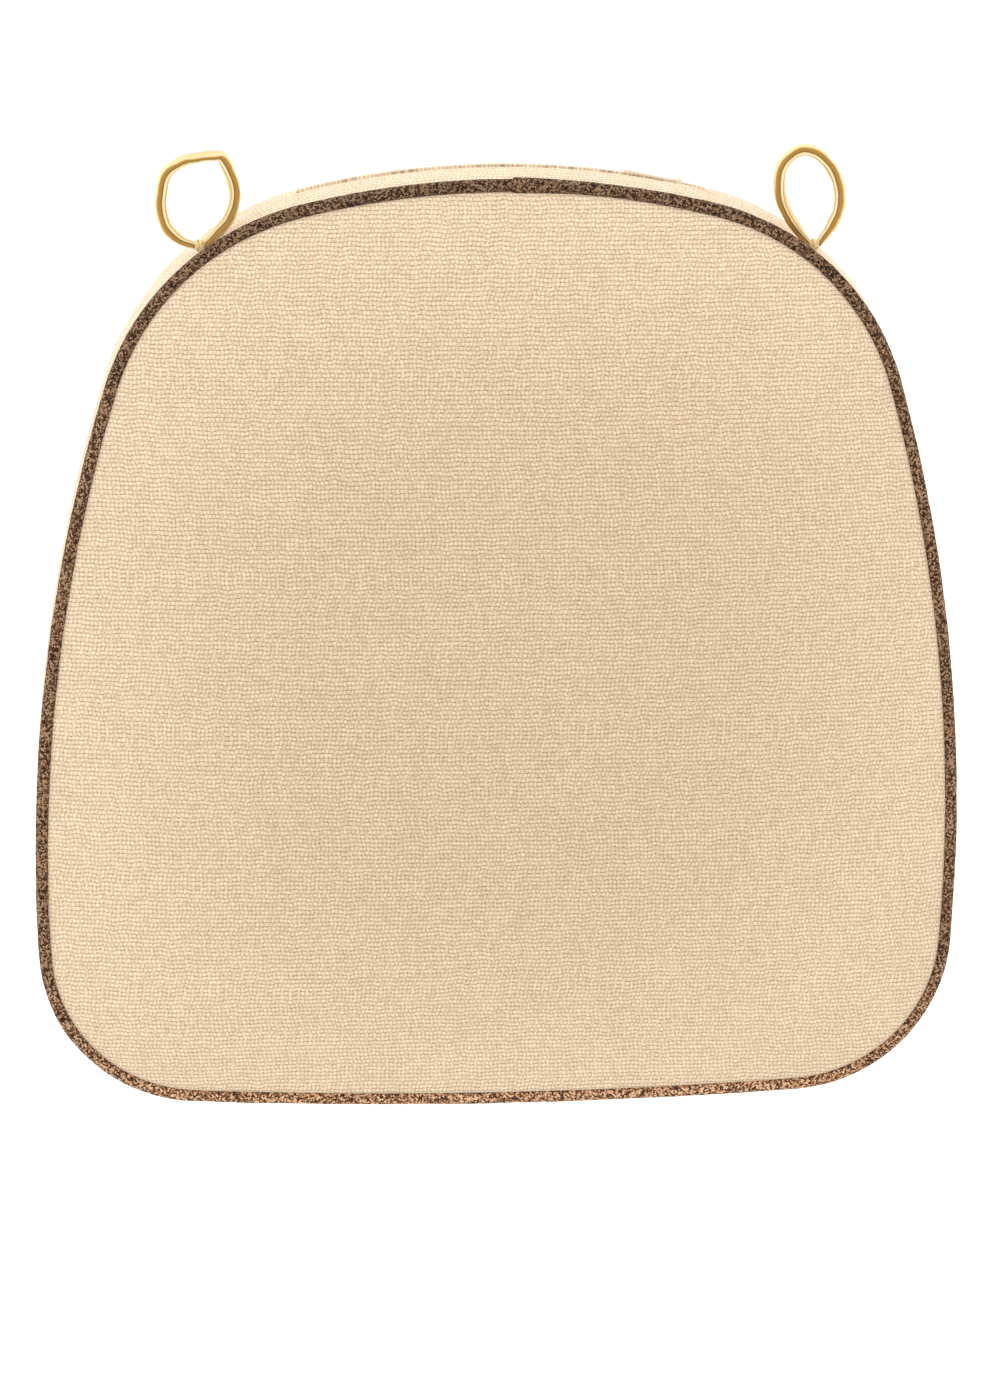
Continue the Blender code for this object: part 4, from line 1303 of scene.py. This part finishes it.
def rounded_copy(node, name, radius, finish, body, slot):
    """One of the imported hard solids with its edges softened."""
    mesh = frame["nodes"][node].data.copy()
    work = bmesh.new()
    work.from_mesh(mesh)
    bmesh.ops.remove_doubles(work, verts=work.verts, dist=0.00001)
    bmesh.ops.dissolve_limit(work, angle_limit=radians(2), verts=work.verts, edges=work.edges)
    bmesh.ops.recalc_face_normals(work, faces=work.faces)
    for edge in work.edges:
        edge.smooth = True
    work.to_mesh(mesh)
    work.free()
    holder = helper_object(name + "_start", mesh)
    bevel = holder.modifiers.new("soft edges", "BEVEL")
    bevel.width, bevel.segments, bevel.limit_method = radius, 3, "ANGLE"
    bevel.angle_limit = radians(35)
    finished = plain_mesh(holder)
    for polygon in finished.polygons:
        polygon.use_smooth = True
    finished.set_sharp_from_angle(angle=radians(38))
    return add_piece(name, finished, finish, body, slot, node)


class CUSHION_OT_stitching(bpy.types.Operator):
    """Sew the rows of stitches along the zip's two folded edges and across its ends"""

    bl_idname = "cushion.make_stitching"
    bl_label = "Make the stitching"

    LIFT = 0.06 * MM           # of the thread's middle above the cloth

    def execute(self, context):
        sizes, outline = context.scene.cushion_zip, Outline(cover_settings())
        cover = bpy.data.objects["cushion_cover"]
        surface = BVHTree.FromObject(cover, context.evaluated_depsgraph_get())
        first, last = (outline.length_at(b) for b in zip_ends())
        paths = []
        for edge, sign in ((CHANNEL_HIGH, 1), (CHANNEL_LOW, -1)):
            z = edge + sign * sizes.stitch_inset
            start, stop = first + 1.5 * MM, last - 1.5 * MM
            row = rear_path(outline, start, stop, boxing_offset(z), z)
            paths.append(laid_on(surface, row, self.LIFT))
        thread = sewing_thread()
        mesh = bars_along("zip_stitching", paths, thread, Spacing=sizes.stitch_pitch,
                          Along=sizes.stitch_length, Across=sizes.thread, Up=sizes.thread,
                          Unevenness=0.08, Seed=11)
        across = []
        for end, sign in ((first, -1), (last, 1)):
            bearing = outline.bearing_at(end + sign * 2.2 * MM)
            column = []
            for i in range(13):
                z = CHANNEL_LOW - 2 * MM + (CHANNEL_HIGH - CHANNEL_LOW + 4 * MM) * i / 12
                point = outline.point(bearing, boxing_offset(z))
                column.append(Vector((point.x, point.y, z)))
            across.append(laid_on(surface, column, self.LIFT))
        join_meshes(mesh, bars_along(
            "zip_end_stitching", across, thread, Spacing=sizes.stitch_pitch, Along=sizes.thread,
            Across=sizes.thread, Up=sizes.stitch_length, Seed=13))
        add_piece("zip_stitching", mesh, thread, "cushion", "cover_cloth")
        return {"FINISHED"}


# ---------------------------------------------------------------- loops

LOOP_LEFT = ((-1.9, 0.0), (-8, 2.6), (-13.5, 8.5), (-15.5, 16.5), (-15, 24), (-12.5, 31),
             (-7, 35.3), (0, 37), (7.5, 37.6), (11.0, 36.2), (13.6, 30), (15.5, 23),
             (14.8, 16), (11.8, 9.5), (7, 4.2), (1.9, 0.0))
LEFT_TWIST = (0, -10, -12, -8, -5, 5, 25, 40, 42, 10, -18, -20, -12, 0, 10, 0)
LOOP_RIGHT = ((-1.9, 0.0), (-6.5, 6), (-11, 12.5), (-14.3, 19.5), (-15.6, 27), (-14, 34),
              (-9.5, 39), (-3.5, 40.4), (2.5, 37.5), (7, 32), (10, 26), (11, 20),
              (10, 13.5), (6.5, 6.5), (1.9, 0.0))
RIGHT_TWIST = (0, -35, -38, -30, -10, 0, 0, 5, 0, -10, 5, 10, 5, 10, 0)


def catmull_rom(before, start, end, after, share):
    """A point on the smooth curve from start to end that heads as its neighbours do."""
    return 0.5 * (2 * start + (end - before) * share
                  + (2 * before - 5 * start + 4 * end - after) * share ** 2
                  + (3 * start - before - 3 * end + after) * share ** 3)


def smooth_line(points, steps):
    """A smooth line through points, each of which may carry more numbers than its place."""
    ends = [2 * points[0] - points[1]] + points + [2 * points[-1] - points[-2]]
    line = []
    for before, start, end, after in zip(ends, ends[1:], ends[2:], ends[3:]):
        line += [catmull_rom(before, start, end, after, i / steps) for i in range(steps)]
    return line + [points[-1]]


class CUSHION_OT_loops(bpy.types.Operator):
    """Make the two satin loops and the gathered ends that hold them in the seams"""

    bl_idname = "cushion.make_loops"
    bl_label = "Make the loops"

    SIDES = 28
    KNOT_RADIUS, KNOT_HALF_HEIGHT = 2.6 * MM, 2.2 * MM

    def execute(self, context):
        loops, outline = context.scene.cushion_loops, Outline(cover_settings())
        satin = loop_satin()
        turns = {"left": radians(2.0), "right": 0.0}
        shapes = {"left": (LOOP_LEFT, LEFT_TWIST), "right": (LOOP_RIGHT, RIGHT_TWIST)}
        for side, bearing in zip(("right", "left"), loop_seams(outline)):
            pivot = Vector(PIVOTS[side + "_loop_swing"])
            place = Matrix.Translation(pivot) @ Matrix.Rotation(turns[side], 4, "Z")
            mesh = self.strap(loops, *shapes[side], place)
            join_meshes(mesh, self.knot(pivot))
            add_piece("loop_strap_" + side, mesh, satin, side + "_loop", "gold_satin",
                      "loop_" + side)
            root = self.root(outline, bearing, pivot)
            add_piece("loop_root_" + side, root, satin, "cushion", "gold_satin",
                      "loop_tails_" + side)
        return {"FINISHED"}

    def strap(self, loops, shape, twists, place):
        """A rolled strap with a fold along it, turned a little as it goes round."""
        knots = [Vector((x * MM, y * MM, 0, twist)) for (x, y), twist in zip(shape, twists)]
        line = smooth_line(knots, 8)
        spine, widths, turned = [], [], []
        length = 0.0
        total = sum((b.xy - a.xy).length for a, b in zip(line, line[1:]))
        for i, spot in enumerate(line):
            before, after = line[max(i - 1, 0)], line[min(i + 1, len(line) - 1)]
            heading = (after.xy - before.xy).normalized()
            outwards = Vector((-heading.y, heading.x))    # the loops run clockwise
            if i:
                length += (spot.xy - before.xy).length
            share = length / total
            from_end = min(length, total - length)
            lift = 0.7 * MM * sin(2 * pi * share)
            lift += noise.noise(Vector((length * 60, 0, 2))) * 0.5 * MM
            lift *= min(1, from_end / (12 * MM))
            point = place @ Vector((spot.x, spot.y, lift))
            side = (place.to_3x3() @ Vector((outwards.x, outwards.y, 0))).normalized()
            pinch = 0.56 + 0.44 * min(1, from_end / 0.011)
            pinch *= 1 + 0.10 * noise.noise(Vector((length * 220, 4, 4)))
            point += side * 0.2 * MM * noise.noise(Vector((length * 150, 8, 1)))
            spine.append((point, side, Vector((0, 0, 1)), length))
            widths.append(pinch)
            turned.append(radians(spot.w))

        def section(i):
            return strap_section(loops, self.SIDES, widths[i], turned[i])

        return tube_mesh("loop_strap", spine, self.SIDES, section, closed=False)

    def knot(self, pivot):
        """The sewn gather where the strap's two ends meet, round about its pivot."""
        count = 9
        rises = [(i / (count - 1) - 0.5) * 2 for i in range(count)]
        spine = [(pivot + Vector((0, 0, rise * self.KNOT_HALF_HEIGHT)), Vector((1, 0, 0)),
                  Vector((0, 1, 0)), i * 0.5 * MM) for i, rise in enumerate(rises)]

        def section(i):
            reach = self.KNOT_RADIUS * sqrt(max(0.03, 1 - abs(rises[i]) ** 2.6))

            def place(turn):
                fold = 1 + 0.07 * cos(7 * turn)
                return (cos(turn) * reach * fold, sin(turn) * reach * fold,
                        0.62 + 0.08 * cos(5 * turn))

            return ring_section(self.SIDES, place)

        return tube_mesh("loop_knot", spine, self.SIDES, section, closed=False)

    def root(self, outline, bearing, pivot):
        """The strap's gathered tail, from inside the seam to its pivot."""
        inner = outline.point(bearing, boxing_offset(pivot.z) - 2.6 * MM)
        start = Vector((inner.x, inner.y, pivot.z))
        outwards = (pivot - start).normalized()
        side = Vector((-outwards.y, outwards.x, 0))
        reach = (pivot - start).length + 0.8 * MM
        count = 10
        spine = [(start + outwards * reach * i / (count - 1), side, Vector((0, 0, 1)),
                  reach * i / (count - 1)) for i in range(count)]

        def section(i):
            share = i / (count - 1)
            high = (2.4 - 0.3 * share) * MM
            wide = (1.0 + 1.1 * share ** 0.8) * MM
            def place(turn):
                fold = 1 + 0.10 * cos(6 * turn + 1.0)
                return (cos(turn) * wide * fold, sin(turn) * high * fold,
                        0.68 + 0.1 * cos(6 * turn))

            return ring_section(self.SIDES, place)

        return tube_mesh("loop_root", spine, self.SIDES, section, closed=False)


def strap_section(loops, sides, pinch, turned):
    """The rolled strap's section: two plump ridges with a fold between them."""
    def place(turn):
        signed = (turn - pi / 2 + pi) % (2 * pi) - pi     # from the fold, inwards positive
        across = cos(turn) * loops.width / 2
        rise = sin(turn) * loops.thickness / 2
        rise -= loops.groove * exp(-((signed - 0.2) / 0.22) ** 2)
        plump = 1 + 0.07 * exp(-((abs(signed) - 0.8) / 0.35) ** 2)
        across, rise = across * plump * pinch, rise * plump * (0.5 + 0.5 * pinch)
        return (across * cos(turned) - rise * sin(turned),
                across * sin(turned) + rise * cos(turned), 0.5 + signed / (2 * pi))

    return ring_section(sides, place)


# ---------------------------------------------------------------- padding and stage

class CUSHION_OT_padding(bpy.types.Operator):
    """Dress the foam, the wadding and the piping's filler cord inside the cover"""

    bl_idname = "cushion.dress_padding"
    bl_label = "Dress the padding"

    def execute(self, context):
        foam = padding("seat_foam", (0.86, 0.80, 0.58), 1.6 * MM, 0.4 * MM)
        fibre = padding("polyester_wadding", (0.92, 0.92, 0.90), 2.5 * MM, 0.6 * MM)
        cotton = padding("cotton_filler_cord", (0.80, 0.77, 0.69), 0.9 * MM, 0.25 * MM)
        for node, finish in (("foam_core", foam), ("wadding_over", fibre),
                             ("wadding_under", fibre), ("piping_cord", cotton)):
            dress(node, finish)
        return {"FINISHED"}


class CUSHION_OT_stage(bpy.types.Operator):
    """Set the cushion on a pale floor in soft even light, with a camera above it"""

    bl_idname = "cushion.set_stage"
    bl_label = "Set the stage"

    FLOOR_HALF, FLOOR_LEVEL, FLOOR_GLOW = 6.0, -0.2 * MM, 0.45

    def execute(self, context):
        stage = context.scene.cushion_stage
        self.floor(stage)
        self.light(stage)
        self.camera(stage)
        context.scene.view_settings.view_transform = "Standard"
        return {"FINISHED"}

    def floor(self, stage):
        mesh = bpy.data.meshes.new("floor")
        half, level = self.FLOOR_HALF, self.FLOOR_LEVEL
        corners = ((-half, -half), (half, -half), (half, half), (-half, half))
        mesh.from_pydata([(x, y, level) for x, y in corners], [], [(0, 1, 2, 3)])
        floor = helper_object("floor", mesh)
        made, _, shader = new_material("floor_paper", 0.9)
        shader["Base Color"].default_value = opaque(stage.floor_colour)
        shader["Emission Color"].default_value = (1, 1, 1, 1)
        shader["Emission Strength"].default_value = self.FLOOR_GLOW
        mesh.materials.append(made)

    def light(self, stage):
        """A white tent round the cushion: brighter at its sides than overhead."""
        world = bpy.data.worlds.new("white_tent")
        world.use_nodes = True
        nodes = Nodes(world.node_tree)
        background = world.node_tree.nodes["Background"]
        up = nodes.xyz(nodes.add("ShaderNodeTexCoord").outputs["Generated"])[2]
        level = nodes.grey_ramp(nodes.math("ABSOLUTE", up),
                                ((0.0, 1.0), (0.45, 0.92), (1.0, stage.sky / stage.horizon)))
        nodes.feed(background.inputs["Color"], level)
        background.inputs["Strength"].default_value = stage.horizon
        bpy.context.scene.world = world
        for name, place, size, power in (
                ("lamp_back", (0.3, 1.6, 1.3), 1.2, 6.0),
                ("lamp_left", (-1.6, 0.4, 1.2), 1.0, 5.0)):
            lamp = bpy.data.lights.new(name, "AREA")
            lamp.shape, lamp.size, lamp.energy = "DISK", size, power
            made = bpy.data.objects.new(name, lamp)
            made.location = place
            made.rotation_mode = "QUATERNION"
            made.rotation_quaternion = (-Vector(place)).to_track_quat("-Z", "Y")
            bpy.context.scene.collection.objects.link(made)

    def camera(self, stage):
        data = bpy.data.cameras.new("camera")
        data.lens, data.clip_start, data.clip_end = stage.lens, 0.05, 50
        camera = bpy.data.objects.new("camera", data)
        bpy.context.scene.collection.objects.link(camera)
        lean = Vector((sin(stage.swing), sin(stage.tilt) * cos(stage.swing),
                       cos(stage.tilt) * cos(stage.swing))).normalized()
        right = (-lean).cross(Vector((0, 1, 0))).normalized()
        up = right.cross(-lean)
        right, up = (cos(stage.roll) * right + sin(stage.roll) * up,
                     cos(stage.roll) * up - sin(stage.roll) * right)
        place = lean * stage.distance + right * stage.aim_right + up * stage.aim_up
        turn = Matrix((right, up, lean)).transposed().to_4x4()
        camera.matrix_world = Matrix.Translation(place) @ turn
        bpy.context.scene.camera = camera


class CUSHION_PT_panel(bpy.types.Panel):
    """Lists the cushion's pieces and their settings"""

    bl_idname = "CUSHION_PT_panel"
    bl_label = "Seat cushion"
    bl_space_type = "VIEW_3D"
    bl_region_type = "UI"
    bl_category = "Cushion"

    def draw(self, context):
        for operator in OPERATORS:
            self.layout.operator(operator.bl_idname)
        for name, _ in SETTINGS:
            box = self.layout.box()
            group = getattr(context.scene, name)
            for field in group.__annotations__:
                box.prop(group, field)


SETTINGS = (("cushion_cover", CoverSettings), ("cushion_piping", PipingSettings),
            ("cushion_zip", ZipSettings), ("cushion_loops", LoopSettings),
            ("cushion_stage", StageSettings))
OPERATORS = (CUSHION_OT_stage, CUSHION_OT_cover, CUSHION_OT_piping, CUSHION_OT_zip,
             CUSHION_OT_stitching, CUSHION_OT_loops, CUSHION_OT_padding)


def register():
    for name, group in SETTINGS:
        bpy.utils.register_class(group)
        setattr(bpy.types.Scene, name, PointerProperty(type=group))
    for operator in OPERATORS:
        bpy.utils.register_class(operator)
    bpy.utils.register_class(CUSHION_PT_panel)


def unregister():
    bpy.utils.unregister_class(CUSHION_PT_panel)
    for operator in reversed(OPERATORS):
        bpy.utils.unregister_class(operator)
    for name, group in reversed(SETTINGS):
        delattr(bpy.types.Scene, name)
        bpy.utils.unregister_class(group)


def main():
    register()
    for operator in OPERATORS:
        group, name = operator.bl_idname.split(".")
        getattr(getattr(bpy.ops, group), name)()


if __name__ == "__main__":
    main()
